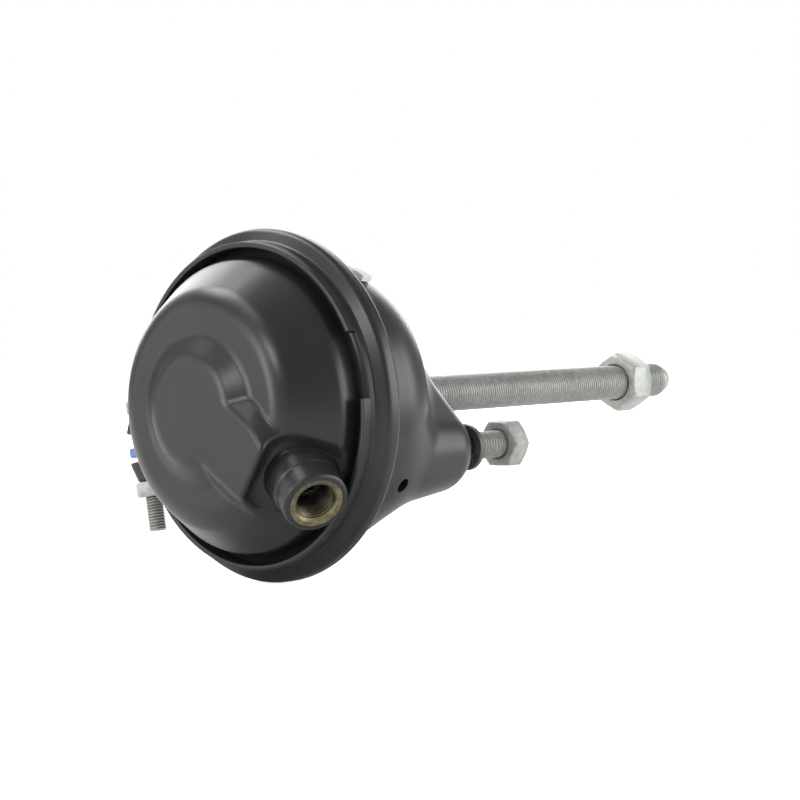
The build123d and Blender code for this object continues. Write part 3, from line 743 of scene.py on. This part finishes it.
@dataclass
class PressureCap:
    """Deep pressed cap with its raised keyhole and the pocket of the port."""

    face_x: float = -115.0
    wall_x: float = -84.4
    wall_r: float = 60.0
    ridge: tuple = (-94.0, 59.6)
    ridge_bend: float = 6.0
    shoulder_r: float = 45.3
    shoulder_bend: float = 13.0
    raise_by: float = 6.0
    key_top_r: float = 20.5
    key_base_r: float = 30.5
    arm_top: float = 13.4
    arm_base: float = 20.8
    arm_end: float = 47.4
    key_bend: float = 1.3
    key_hollow: float = 0.7
    end_bend: float = 1.5
    corner_bend: float = 6.0
    corner_way: tuple = (0.66, 0.75)
    upper_corner: tuple = (2.5, 11.0)
    lower_corner: tuple = (4.8, 13.4)
    pocket_half: float = 15.6
    pocket_front: float = 17.4
    pocket_rear: float = 16.0
    pocket_draft: float = 50.0
    front_draft: float = 27.0
    pocket_bends: tuple = (6.0, 5.0, 1.6)
    pocket_edge: float = 2.2
    port_hole: float = 5.5
    centre_x: float = -80.0
    rows: int = 168
    cols: int = 260

    def cone(self, x: Array, r: Array) -> Array:
        """Distance from the cone that runs from the ridge to the face."""
        slope = math.atan2(self.ridge[1] - self.shoulder_r, self.ridge[0] - self.face_x)
        return -(x - self.ridge[0]) * math.sin(slope) + (r - self.ridge[1]) * math.cos(slope)

    def body(self, x: Array, r: Array) -> Array:
        """Turned form: wall, cone and face, and the flange that the band clamps."""
        draft = (self.wall_r - self.ridge[1]) / (self.wall_x - self.ridge[0])
        wall = r - self.wall_r - (x - self.wall_x) * draft
        form = both(wall, self.cone(x, r), eased(self.ridge_bend, 34.0))
        form = both(form, self.face_x - x, eased(self.shoulder_bend, 56.0))
        return LAYOUT.flanged(form, x, r, self.wall_r, -1)

    def keyhole(self, x: Array, along: Array, across: Array) -> Array:
        """Raised keyhole: a round end and an arm with sloping flanks under a flat top.

        The arm's end is square with two corners cut off, each by its own pair of how
        far it stands past the cone and how far from the middle.
        """
        def flank(reach: Array, base: float, top: float) -> Array:
            """Distance from a flank that narrows from its base to its top."""
            run = base - top
            size = math.hypot(run, self.raise_by)
            return (-(x - self.face_x) * run + (reach - base) * self.raise_by) / size

        disc = flank(np.hypot(along, across), self.key_base_r, self.key_top_r)
        arm = both(flank(np.abs(across), self.arm_base, self.arm_top), -along, 0.5)
        out, reach = np.where(across[None] < 0, np.reshape(self.upper_corner, (2, 1, 1)),
                              np.reshape(self.lower_corner, (2, 1, 1)))
        past, beside = self.corner_way
        corner = (self.cone(x, along) - out) * past + (np.abs(across) - reach) * beside
        arm = both(both(arm, along - self.arm_end, self.end_bend), corner, self.corner_bend)
        raised = both(either(disc, arm, self.key_hollow), self.face_x - self.raise_by - x,
                      self.key_bend)
        return both(raised, x - self.face_x - self.raise_by, 0.3)

    def pocket(self, x: Array, along: Array, across: Array) -> Array:
        """Drafted pocket round the port: a slanting floor, two sides and two ends."""
        port = LAYOUT.port(LAYOUT.port_length)
        lean = math.radians(LAYOUT.pocket_tilt)
        dx = x - port.origin[0]
        da = along - float(np.dot(port.origin, radial(LAYOUT.port_angle)))
        height = -dx * math.sin(lean) + da * math.cos(lean)
        ahead = -dx * math.cos(lean) - da * math.sin(lean)
        draft, front = math.radians(self.pocket_draft), math.radians(self.front_draft)
        side = (np.abs(across) - self.pocket_half) * math.cos(draft) - height * math.sin(draft)
        rear = (-ahead - self.pocket_rear) * math.cos(draft) - height * math.sin(draft)
        fore = (ahead - self.pocket_front) * math.cos(front) - height * math.sin(front)
        front_bend, rear_bend, floor_bend = self.pocket_bends
        walls = both(both(side, fore, front_bend), rear, rear_bend)
        return both(walls, -height, floor_bend)

    def form(self, x: Array, y: Array, z: Array) -> Array:
        """Signed distance of the whole cap: body and keyhole joined, less the pocket."""
        along, across = in_plane(y, z, LAYOUT.port_angle)
        joined = either(self.body(x, np.hypot(y, z)), self.keyhole(x, along, across), 1.1)
        return both(joined, -self.pocket(x, along, across), self.pocket_edge)

    def make(self) -> Object:
        """Casts the outer surface, drops its faces under the port and thickens it."""
        even = circle(self.cols)
        around = math.radians(LAYOUT.port_angle) + even - 0.55 * np.sin(even)
        polar = np.radians(np.interp(np.linspace(0, 1, self.rows),
                                     [0, 0.16, 0.80, 0.93, 1], [0.001, 14, 68, 86.0, 89.2]))
        points = cast(self.form, self.centre_x, polar, around, -1)
        port = LAYOUT.port()
        offset = points - np.array(port.origin)
        out = np.array(port.z_dir)
        gap = np.linalg.norm(offset - (offset @ out)[..., None] * out, axis=-1)
        drop = (gap < self.port_hole) & (np.abs(offset @ out + LAYOUT.port_length) < 3.0)
        made = pressing("cap_pressing", Shell(points, Ends.OPEN, None, None, drop),
                        self.centre_x, LAYOUT.cap_sheet)
        return dress(made, "pressure_cap")


@dataclass
class Housing:
    """Non-pressure housing: a bowl that runs softly into the base of the studs."""

    wall_r: float = 60.75
    nose_r: float = 14.76
    shoulder_bend: float = 29.0
    base_half: float = 24.5
    lobe_r: float = 16.4
    draft: float = 7.5
    edge: float = 12.5
    blend: float = 6.0
    rod_hole: float = 13.0
    vent_r: float = 3.2
    vent_x: float = -55.3
    vent_angle: float = -148.0
    punch_reach: float = 12.0
    centre_x: float = -78.0
    rows: int = 160
    cols: int = 280

    def base(self, x: Array, s: Array, q: Array) -> Array:
        """Drafted base: the hull of a middle circle and two lobes, widening backwards.

        The plan distance is that of a capsule with unequal ends, taken on one side.
        """
        reach = LAYOUT.stud_reach
        s, q = np.abs(s), np.abs(q)
        lean = (self.base_half - self.lobe_r) / reach
        level = math.sqrt(1 - lean * lean)
        share = -lean * q + level * s
        plan = np.where(share < 0, np.hypot(s, q) - self.base_half,
                        np.where(share > level * reach, np.hypot(s - reach, q) - self.lobe_r,
                                 level * q + lean * s - self.base_half))
        slope = math.radians(self.draft)
        side = (plan + x * math.tan(slope)) * math.cos(slope)
        return both(side, x, self.edge)

    def form(self, x: Array, y: Array, z: Array) -> Array:
        """Signed distance: wall and cone, the base blended on, and the flange."""
        r = np.hypot(y, z)
        cone = (x + r - self.nose_r) / math.sqrt(2)
        bowl = both(r - self.wall_r, cone, eased(self.shoulder_bend, 45.0))
        bowl = both(bowl, x, 1.0)
        base = self.base(x, *in_plane(y, z, LAYOUT.stud_angle))
        joined = either(bowl, base, self.blend)
        return LAYOUT.flanged(joined, x, r, self.wall_r, 1)

    def vent(self, index: int) -> Place:
        """Place of a vent on the shoulder's bend, its local z square to the wall."""
        bend_start = self.nose_r - self.wall_r - self.shoulder_bend * math.tan(math.radians(22.5))
        lean = math.asin((self.vent_x - bend_start) / self.shoulder_bend)
        out = radial(self.vent_angle + 90 * index)
        height = self.wall_r - self.shoulder_bend * (1 - math.cos(lean))
        centre = np.array([self.vent_x, 0, 0]) + out * height
        normal = np.array([math.sin(lean), 0, 0]) + out * math.cos(lean)
        return Place(tuple(centre), tuple(normal), (1, 0, 0))

    def vent_cutters(self) -> Object:
        """Pins that punch the four vents."""
        reach, r = self.punch_reach, self.vent_r
        pins = [turned([-reach, -reach, reach, reach], [0, r, r, 0], self.vent(index), 32)
                for index in range(4)]
        return build("vent_cutters", pins, [])

    def make(self) -> Object:
        """Casts the outer surface, gives it its sheet and punches the vents."""
        start = math.atan2(self.rod_hole, -self.centre_x)
        polar = np.interp(np.linspace(0, 1, self.rows), [0, 0.62, 0.92, 1],
                          [start, *np.radians([52, 84, 87.2])])
        even = circle(self.cols)
        around = math.radians(LAYOUT.stud_angle) + even - 0.22 * np.sin(2 * even)
        points = cast(self.form, self.centre_x, polar, around, 1)
        made = pressing("housing_pressing", Shell(points), self.centre_x, LAYOUT.housing_sheet)
        cutters = self.vent_cutters()
        punch = made.modifiers.new("punch", "BOOLEAN")
        punch.operation, punch.object, punch.solver = "DIFFERENCE", cutters, "EXACT"
        bpy.context.view_layer.update()
        whole = made.evaluated_get(bpy.context.evaluated_depsgraph_get())
        punched = bpy.data.meshes.new_from_object(whole)
        made.modifiers.clear()
        made.data = punched
        punched.shade_smooth()
        punched.set_sharp_from_angle(angle=math.radians(50))
        bpy.data.objects.remove(cutters)
        return dress(made, "non_pressure_housing")


@dataclass
class AirPort:
    """Threaded boss: painted outside, its face rubbed bare and its thread bright."""

    radius: float = 13.2
    collar_r: float = 13.8
    collar_depth: float = 9.6
    tap_r: float = 7.25
    bare_r: float = 10.7
    mouth_r: float = 8.8
    pitch: float = 1.5
    depth: float = 0.7
    tap_from: float = -1.45
    cols: int = 72

    def make(self) -> Object:
        """Rows run up the outside, over the face, down the threaded bore and under.

        The lowest rows follow the slanting floor: their depth is the port's length
        plus radius x cos(angle) x tan(tilt between floor and port).
        """
        angle = circle(self.cols)[None, :]
        length = LAYOUT.port_length
        tilt = math.tan(math.radians(LAYOUT.pocket_tilt - LAYOUT.port_tilt))

        def floor(radius: float) -> Array:
            """Depth of the slanting floor round a circle, a hair above it."""
            return -length - radius * np.cos(angle) * tilt + 0.02

        foot, top, r = self.collar_r + 0.9, -self.collar_depth, self.radius
        outside = [(foot, floor(foot)), (self.collar_r, floor(foot) + 1.6),
                   (self.collar_r, top - 0.9), (self.collar_r - 0.25, top - 0.3),
                   (r + 0.1, top + 0.1), (r, top + 0.5), (r, -1.5), (r - 0.25, -0.75),
                   (r - 0.8, -0.2), (r - 1.4, 0.0), (self.bare_r, 0.0)]
        face = [(self.bare_r - 0.05, 0.0), (self.mouth_r + 0.25, 0.0), (self.mouth_r, -0.12),
                (self.tap_r + self.depth, self.tap_from + 0.05)]
        bore = np.linspace(self.tap_from, -length + 1.0, 80)[:, None]
        high = thread(bore, angle, self.pitch)
        fade = np.clip((self.tap_from - bore) / self.pitch, 0.35, 1)
        core = self.tap_r + self.depth * (1 - high * fade)
        local = stacked([*outside, *face, (core, bore), (self.tap_r, floor(self.tap_r))], angle)
        slots = (np.arange(len(local)) >= len(outside) - 1).astype(int)
        painted_shade = np.zeros(local.shape[:2])
        first = len(outside) + len(face)
        # painted shade in the thread roots, growing darker down the bore
        bore_shade = np.clip((self.tap_from - bore) / 9.0, 0, 1)
        painted_shade[first:first + len(bore)] = np.maximum((1 - high) * 1.2, bore_shade * 1.35)
        shell = Shell(LAYOUT.port().carry(local), Ends.RING, slots, painted_shade)
        return dress(build("port_boss", [shell], [SATIN, BRASS], 40), "air_port")


@dataclass
class ClampBand:
    """Channel bent from strip, split at its bolt, with two drafted ears and a window."""

    rim_r: float = LAYOUT.band_r
    rim_width: float = LAYOUT.band_width
    sheet: float = LAYOUT.band_sheet
    valley_r: float = 66.5
    foot_r: float = 65.0
    lip: float = 12.0
    bends: tuple = (3.0, 3.0, 1.6)
    gap: tuple = (-13.2, -1.0)
    ear_thick: float = 8.8
    ear_width: float = 14.6
    ear_out: float = 7.4
    ear_corner: float = 5.0
    ear_draft: float = 12.0
    window: tuple = (153.4, 177.1)

    def path(self) -> Array:
        """Outside of the strip from its rear foot to the lip, X and radius, rounded.

        At each corner the path leaves the straight lines a tangent length before it
        and follows an arc; seven points on each arc.
        """
        slope = math.tan(math.radians(LAYOUT.flank))
        half = self.rim_width / 2
        rear = half + (self.rim_r - self.foot_r) * slope
        front = half + (self.rim_r - self.valley_r) * slope
        corners = np.array([(rear, self.foot_r), (half, self.rim_r), (-half, self.rim_r),
                            (-front, self.valley_r), (-self.lip, self.valley_r)])
        points = [corners[:1]]
        for index, bend in enumerate(self.bends, 1):
            into = corners[index] - corners[index - 1]
            out = corners[index + 1] - corners[index]
            into, out = into / np.linalg.norm(into), out / np.linalg.norm(out)
            turn = math.acos(float(np.clip(into @ out, -1, 1)))
            side = math.copysign(1.0, into[0] * out[1] - into[1] * out[0])
            start = corners[index] - into * bend * math.tan(turn / 2)
            centre = start + side * bend * np.array([-into[1], into[0]])
            swing = side * np.linspace(0, turn, 7)
            arm = start - centre
            points.append(centre + np.stack([arm[0] * np.cos(swing) - arm[1] * np.sin(swing),
                                             arm[0] * np.sin(swing) + arm[1] * np.cos(swing)], 1))
        points.append(corners[-1:])
        return np.concatenate(points)

    def section(self) -> Array:
        """Closed section of the strip: the outside, then the inside a sheet below it."""
        outside = self.path()
        along = np.gradient(outside, axis=0)
        along /= np.linalg.norm(along, axis=1)[:, None]
        inside = outside - self.sheet * np.stack([along[:, 1], -along[:, 0]], 1)
        soft = 0.3
        first, last = along[0] * soft, along[-1] * soft
        outside[0] += first
        outside[-1] -= last
        inside[0] += first
        inside[-1] -= last
        shares = np.array([[0.2], [0.8]])
        front = inside[-1] + last + (outside[-1] - inside[-1]) * shares
        back = outside[0] - first + (inside[0] - outside[0]) * shares
        return np.concatenate([outside, front[::-1], inside[::-1], back[::-1]])

    def channel(self) -> Shell:
        """Strip swept round the axis from one side of the gap to the other.

        In the window the lip is cut back: stations beyond a limit are held at it.
        """
        section = self.section()
        angle = ClampFasteners.angle
        start = angle + math.degrees(self.gap[1] / self.rim_r)
        end = angle + math.degrees(self.gap[0] / self.rim_r) + 360
        edge = 0.06
        turn = np.unique(np.concatenate([
            np.linspace(start, end, 240), [self.window[0], self.window[0] + edge,
                                           self.window[1] - edge, self.window[1]]]))
        slope = math.tan(math.radians(LAYOUT.flank))
        limit = -self.rim_width / 2 - (self.rim_r - self.valley_r) * slope - self.sheet
        cut = (turn > self.window[0] + edge / 2) & (turn < self.window[1] - edge / 2)
        x = np.where(cut[:, None], np.maximum(section[None, :, 0], limit), section[None, :, 0])
        r = np.broadcast_to(section[None, :, 1], x.shape)
        theta = np.radians(turn)[:, None]
        points = np.stack([x + LAYOUT.joint_x, r * np.cos(theta), r * np.sin(theta)], -1)
        return Shell(capped(points), Ends.POLES)

    def ear(self, start: float, away: int) -> Shell:
        """One ear: a rounded plate that narrows away from the gap, with the bolt's hole.

        Its outline is a rounded rectangle. Points of it that would pass through the
        band are held at the band's outside less half a sheet.
        """
        fasteners = ClampFasteners()
        count = 96
        angle = circle(count)
        path = self.path()
        order = np.argsort(path[:, 0])
        foot = fasteners.radius - self.valley_r + 2.0

        def outline(shrink: float) -> Array:
            """Rounded rectangle seen from the bolt, across the band and outwards."""
            half_w = self.ear_width / 2 - shrink
            middle = (self.ear_out - shrink - foot) / 2
            half_l = (self.ear_out - shrink + foot) / 2
            corner = self.ear_corner
            box = np.stack([np.cos(angle), np.sin(angle)], 1)
            inner = np.array([half_w - corner, half_l - corner])
            spot = np.sign(box) * inner + corner * box
            flat = np.stack([spot[:, 0], spot[:, 1] + middle], 1)
            band = np.interp(flat[:, 0] + fasteners.rear, path[order, 0], path[order, 1])
            least = band - self.sheet * 0.5 - fasteners.radius
            return np.stack([flat[:, 0], np.maximum(flat[:, 1], least)], 1)

        fall = math.tan(math.radians(self.ear_draft))
        hole = (fasteners.bolt_r + 0.1) * np.stack([np.cos(angle), np.sin(angle)], 1)
        soft = 0.8
        stops = [(hole, 0.0), (outline(soft * 0.8), 0.0), (outline(0.15), soft * 0.5),
                 (outline(0.0 + fall * soft), soft * 1.4),
                 (outline(fall * (self.ear_thick - soft)), self.ear_thick - soft),
                 (outline(fall * self.ear_thick + soft * 0.3), self.ear_thick - soft * 0.3),
                 (outline(fall * self.ear_thick + soft), self.ear_thick), (hole, self.ear_thick)]
        rows = [np.stack([flat[:, 0], flat[:, 1], np.full(count, start + away * depth)], 1)
                for flat, depth in stops]
        local = np.stack(rows)
        return Shell(fasteners.place(0).carry(local), Ends.RING)

    def make(self) -> Object:
        """Builds the channel and its ears as one piece."""
        shells = [self.channel(), self.ear(self.gap[1], 1), self.ear(self.gap[0], -1)]
        made = build("band_channel", shells, [SATIN], 40)
        return dress(made, "clamp_band")


@dataclass
class ClampFasteners:
    """Bolt, nut and retaining ring of the clamp band."""

    angle: float = -8.0
    radius: float = 78.5
    rear: float = 2.0
    bolt_r: float = 4.0
    across: float = 13.0
    head: float = 5.5
    nut: float = 6.5
    out: float = 15.0
    low_ear: float = -22.0
    high_ear: float = 7.8
    ring_at: float = -9.1
    ring_r: float = 8.0
    ring_width: float = 4.0

    def place(self, along: float) -> Place:
        """Place across the bolt at a station along it."""
        up = radial(self.angle + 90)
        middle = np.array([LAYOUT.joint_x + self.rear, 0, 0]) + radial(self.angle) * self.radius
        return Place(tuple(middle + up * along), tuple(up), (1, 0, 0))

    def make(self) -> list[Object]:
        """Builds the three pieces."""
        end = self.low_ear - self.nut - self.out
        profile = [(end, self.bolt_r - 0.9), (end + 0.9, self.bolt_r), (self.high_ear, self.bolt_r),
                   (self.high_ear + 0.3, self.bolt_r)]
        shank = screw(profile, (end + 0.2, self.low_ear + 4.0), 1.25, 0.62, self.place(0), 32)
        head = hexagonal(self.across, self.head, 0, self.place(self.high_ear), False)
        bolt = build("clamp_screw", [shank, head], [ZINC])
        bore = self.bolt_r + LAYOUT.slack
        body = hexagonal(self.across, self.nut, bore, self.place(self.low_ear - self.nut))
        nut = build("clamp_screw_nut", [body], [ZINC])
        half, soft = self.ring_width / 2, 0.7
        ring = turned([-half, -half, -half + 0.2, -half + soft, half - soft, half - 0.2, half, half],
                      [bore, self.ring_r - soft, self.ring_r - 0.2, self.ring_r, self.ring_r,
                       self.ring_r - 0.2, self.ring_r - soft, bore],
                      self.place(self.ring_at), 40, Ends.RING)
        keeper = build("retaining_ring", [ring], [BLUE_PLASTIC])
        return [dress(bolt, "clamp_bolt"), dress(nut, "clamp_nut"),
                dress(keeper, "bolt_retainer")]


@dataclass
class MountingStuds:
    """The two studs with their nuts and hanging lock washers."""

    thread_r: float = 5.9
    shank_r: float = 6.0
    shank: float = 6.5
    length: float = 39.0
    pitch: float = 1.75
    depth: float = 0.85
    # the stud is dark from its head up to this station, in the satin black material
    painted: float = 10.5
    nut_across: float = 19.0
    nut_height: float = 10.0
    nut_starts: tuple = (28.0, 19.0)
    washer_x: float = 6.4
    washer_thick: float = 3.0
    washer_bore: float = 6.2
    washer_r: float = 9.9

    def stud(self, side: int, name: str) -> Object:
        """One stud: head, press-fit neck, plain shank and thread."""
        centre = LAYOUT.stud(side)
        profile = [(-11.0, 8.4), (-10.4, 9.0), (-6.5, 9.0), (-6.49, 6.5), (0, 6.5),
                   (0.01, self.shank_r), (self.shank, self.shank_r),
                   (self.shank + 0.1, self.thread_r), (self.length - 1.2, self.thread_r),
                   (self.length, self.thread_r - 1.2)]
        place = Place(tuple(centre), (1, 0, 0), (0, 1, 0))
        span = (self.shank + 0.3, self.length - 0.1)
        shell = screw(profile, span, self.pitch, self.depth, place)
        # rows short of that station take the satin black material
        shell.slots = (shell.points[:, 0, 0] < self.painted).astype(int)
        return build(name, [shell], [ZINC, SATIN])

    def washer(self, side: int, name: str) -> Object:
        """Split washer: a soft square section carried round a short helix.

        The section's middle moves round a circle while it advances by the lift of the
        split, and the two ends are closed by shrinking the last rows to a point.
        """
        hang = self.washer_bore - self.thread_r - LAYOUT.slack
        centre = LAYOUT.stud(side) + np.array([self.washer_x + self.washer_thick / 2, 0, -hang])
        turn = np.linspace(math.radians(4), math.radians(356), 72)
        half_w, half_t, soft = (self.washer_r - self.washer_bore) / 2, self.washer_thick / 2, 0.35
        section = np.array([(half_w - soft, -half_t), (half_w, -half_t + soft),
                            (half_w, half_t - soft), (half_w - soft, half_t),
                            (soft - half_w, half_t), (-half_w, half_t - soft),
                            (-half_w, soft - half_t), (soft - half_w, -half_t)])
        lift = 0.5 * (turn / math.pi - 1.0)
        middle = (self.washer_r + self.washer_bore) / 2
        r = middle + section[None, :, 0]
        local = capped(rings(r, turn[:, None], section[None, :, 1] * 0.86 + lift[:, None]))
        place = Place(tuple(centre), (1, 0, 0), (0, 0, 1))
        return build(name, [Shell(place.carry(local), Ends.POLES)], [BLACK_STEEL])

    def make(self) -> list[Object]:
        """Builds both studs with what hangs on them."""
        pieces = []
        for number, side in ((1, 1), (2, -1)):
            stud = self.stud(side, f"stud_{number}")
            centre = LAYOUT.stud(side) + np.array([self.nut_starts[number - 1], 0, 0])
            place = Place(tuple(centre), (1, 0, 0), (0, 1, 0))
            body = hexagonal(self.nut_across, self.nut_height, self.thread_r + LAYOUT.slack, place)
            nut = build(f"nut_{number}", [body], [ZINC])
            washer = self.washer(side, f"washer_{number}")
            pieces += [dress(stud, f"mounting_stud_{number}"),
                       dress(nut, f"stud_nut_{number}"),
                       dress(washer, f"lock_washer_{number}")]
        return pieces


@dataclass
class VentPlugs:
    """Domed hexagonal plugs in the two upper vents."""

    across: float = 9.4
    height: float = 3.6
    dome: float = 1.2
    pin_r: float = 2.65
    pin: float = 4.6

    def make(self) -> list[Object]:
        """Builds both plugs: hexagon below, a dome above, a pin through the wall.

        The dome's height falls with the square of the radius, from the middle to the
        corners.
        """
        pieces = []
        vents = Housing()
        seat = 0.1
        for number, index in ((1, 2), (2, 3)):
            angle, side = hexagon(self.across)
            r = side * np.array([1.0, 1.0, 0.97, 0.9, 0.75, 0.5, 0.25, 0.0])[:, None]
            corner = self.across / math.sqrt(3)
            z = self.height - self.dome * (r / corner) ** 2 + seat
            z[0] = seat
            z[1] -= 0.35
            local = stacked([(0, -self.pin), (self.pin_r, -self.pin), (self.pin_r, seat), (r, z)],
                            angle)
            shell = Shell(vents.vent(index).carry(local), Ends.POLES)
            piece = build(f"plug_{number}", [shell], [PALE_PLASTIC])
            pieces.append(dress(piece, f"vent_plug_{number}"))
        return pieces


@dataclass
class PushRod:
    """Threaded push rod and its lock nut."""

    radius: float = 7.95
    foot_x: float = -105.8
    end_x: float = 185.4
    chamfer: float = 1.7
    chamfer_length: float = 4.5
    pitch: float = 1.5
    depth: float = 0.62
    thread_from: float = -46.0
    nut_x: float = 150.8
    nut_across: float = 24.0
    nut_height: float = 13.8

    def make(self) -> list[Object]:
        """Builds the rod, threaded from inside the guide to its tip, and the nut."""
        last = self.end_x - self.chamfer_length
        profile = [(self.foot_x - 3.0, 6.0), (self.foot_x, 6.0), (self.foot_x + 0.01, 13.0),
                   (self.foot_x + 7.0, self.radius), (last, self.radius),
                   (self.end_x, self.radius - self.chamfer)]
        place = Place((0, 0, 0), (1, 0, 0), (0, 1, 0))
        span = (self.thread_from, last)
        rod = build("threaded_rod", [screw(profile, span, self.pitch, self.depth, place)], [ZINC])
        nut_place = Place((self.nut_x, 0, 0), (1, 0, 0), (0, 0, 1))
        body = hexagonal(self.nut_across, self.nut_height, self.radius + LAYOUT.slack, nut_place)
        nut = build("rod_nut", [body], [ZINC])
        return [dress(rod, "push_rod", ROD),
                dress(nut, "rod_lock_nut", ROD)]


@dataclass
class CarriedNodes:
    """Solids that keep their own shape and only get their finish."""

    wear: tuple = (("reinforcement_plate", PLATE_STEEL), ("rod_guide", BLACK_PLASTIC),
                   ("return_spring", BLACK_STEEL), ("diaphragm", RUBBER),
                   ("push_plate", PLATE_STEEL))

    def make(self) -> list[Object]:
        """Gives each carried solid its material in all its slots."""
        pieces = []
        for name, kind in self.wear:
            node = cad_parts[name]
            node.data.materials.clear()
            node.data.materials.append(material(kind))
            pieces.append(node)
        return pieces


@dataclass
class Studio:
    """White studio: floor, soft lamps, world and the camera of the photograph.

    A lamp is given by its name, where it stands, its width and height in metres, and
    its power in watts.
    """

    floor_z: float = -0.0724
    floor_half: float = 6.0
    floor_glow: float = 0.78
    world_grey: float = 0.34
    lens: float = 110.25
    aim: tuple = (-0.05, 0.0, 0.0)
    lamps: tuple = (("left_wall", (-1.15, 1.00, 0.20), (1.4, 1.2), 6.5),
                    ("back_wall", (1.10, 1.30, 0.95), (2.2, 1.6), 44.0),
                    ("top_left", (-0.35, 0.75, 1.25), (0.7, 0.6), 12.0),
                    ("right_wall", (0.80, -1.25, 0.20), (2.0, 1.1), 29.0),
                    ("front_left", (-1.60, 0.38, 0.10), (0.30, 1.1), 11.0),
                    ("front_high", (-1.40, -0.26, 0.72), (0.26, 0.26), 5.0),
                    ("top_front", (-0.85, 0.17, 1.25), (0.45, 0.45), 2.0))
    camera_spot: tuple = (-0.768612, -0.721923, 0.034476)
    camera_right: tuple = (0.6827486, -0.7299584, -0.0318595)
    camera_up: tuple = (0.0466128, 0.0, 0.9989130)
    camera_back: tuple = (-0.7291650, -0.6834915, 0.0340254)

    def stand(self, name: str, data: bpy.types.ID, columns: Sequence = ()) -> Object:
        """Links a new object, its place given as three axes and a point."""
        made = bpy.data.objects.new(name, data)
        bpy.context.scene.collection.objects.link(made)
        if columns:
            made.matrix_world = Matrix(np.vstack([np.column_stack(columns),
                                                  [0, 0, 0, 1]]).tolist())
        return made

    def floor(self) -> None:
        """Pale floor whose own light lifts it to white where it is seen."""
        half, z = self.floor_half, self.floor_z
        mesh = bpy.data.meshes.new("studio_floor")
        mesh.from_pydata([(-half, -half, z), (half, -half, z), (half, half, z), (-half, half, z)],
                         [], [(0, 1, 2, 3)])
        paint = Paint("pale_floor")
        paint.set("Base Color", (0.80, 0.80, 0.80, 1.0))
        paint.set("Roughness", 0.9)
        paint.set("Specular IOR Level", 0.0)
        paint.set("Emission Color", (1.0, 1.0, 1.0, 1.0))
        matt = Value(paint, paint.shader.outputs[0])
        glow = paint.node("ShaderNodeEmission", None, {"Strength": self.floor_glow})
        lit = paint.node("ShaderNodeAddShader", None, [matt, glow])
        shown = paint.node("ShaderNodeMixShader", None, [paint.seen(), matt, lit])
        paint.feed(paint.tree.nodes["Material Output"].inputs["Surface"], shown)
        mesh.materials.append(paint.material)
        self.stand("studio_floor", mesh)

    def world(self) -> None:
        """Soft grey light on the object, white where the background is seen."""
        world = bpy.data.worlds.new("studio_world")
        world.use_nodes = True
        bpy.context.scene.world = world
        nodes = Nodes(world.node_tree)
        grey = (self.world_grey, self.world_grey, self.world_grey, 1.0)
        colour = nodes.blend(nodes.seen(), grey, (1.0, 1.0, 1.0, 1.0))
        nodes.feed(nodes.tree.nodes["Background"].inputs["Color"], colour)

    def lamp(self, name: str, spot: tuple, size: tuple, power: float) -> None:
        """One softbox that looks at the object and isn't seen itself."""
        data = bpy.data.lights.new(name, "AREA")
        data.shape, data.size, data.size_y, data.energy = "RECTANGLE", *size, power
        back = np.array(spot) - np.array(self.aim)
        back = back / np.linalg.norm(back)
        right = np.cross([0.0, 0.0, 1.0], back)
        right = right / np.linalg.norm(right)
        self.stand(name, data, (right, np.cross(back, right), back, spot)).visible_camera = False

    def camera(self) -> None:
        """Camera of the photograph, its place and turn solved from the photo."""
        data = bpy.data.cameras.new("photo_camera")
        data.lens, data.sensor_width = self.lens, 36.0
        columns = (self.camera_right, self.camera_up, self.camera_back, self.camera_spot)
        bpy.context.scene.camera = self.stand("photo_camera", data, columns)

    def make(self) -> None:
        """Sets up the whole studio."""
        self.floor()
        self.world()
        for lamp in self.lamps:
            self.lamp(*lamp)
        self.camera()
        bpy.context.scene.view_settings.view_transform = "Standard"


def main() -> None:
    """Builds every sub-assembly in order and reports its pieces."""
    logging.basicConfig(level=logging.INFO, format="%(name)s: %(message)s")
    for kind in (PressureCap, Housing, AirPort, ClampBand, ClampFasteners, MountingStuds, VentPlugs,
                 PushRod, CarriedNodes):
        made = kind().make()
        pieces = made if isinstance(made, list) else [made]
        for piece in pieces:
            LOG.info("%s: %s, %d faces", kind.__name__, piece.name, len(piece.data.polygons))
    Studio().make()


if __name__ == "__main__":
    main()
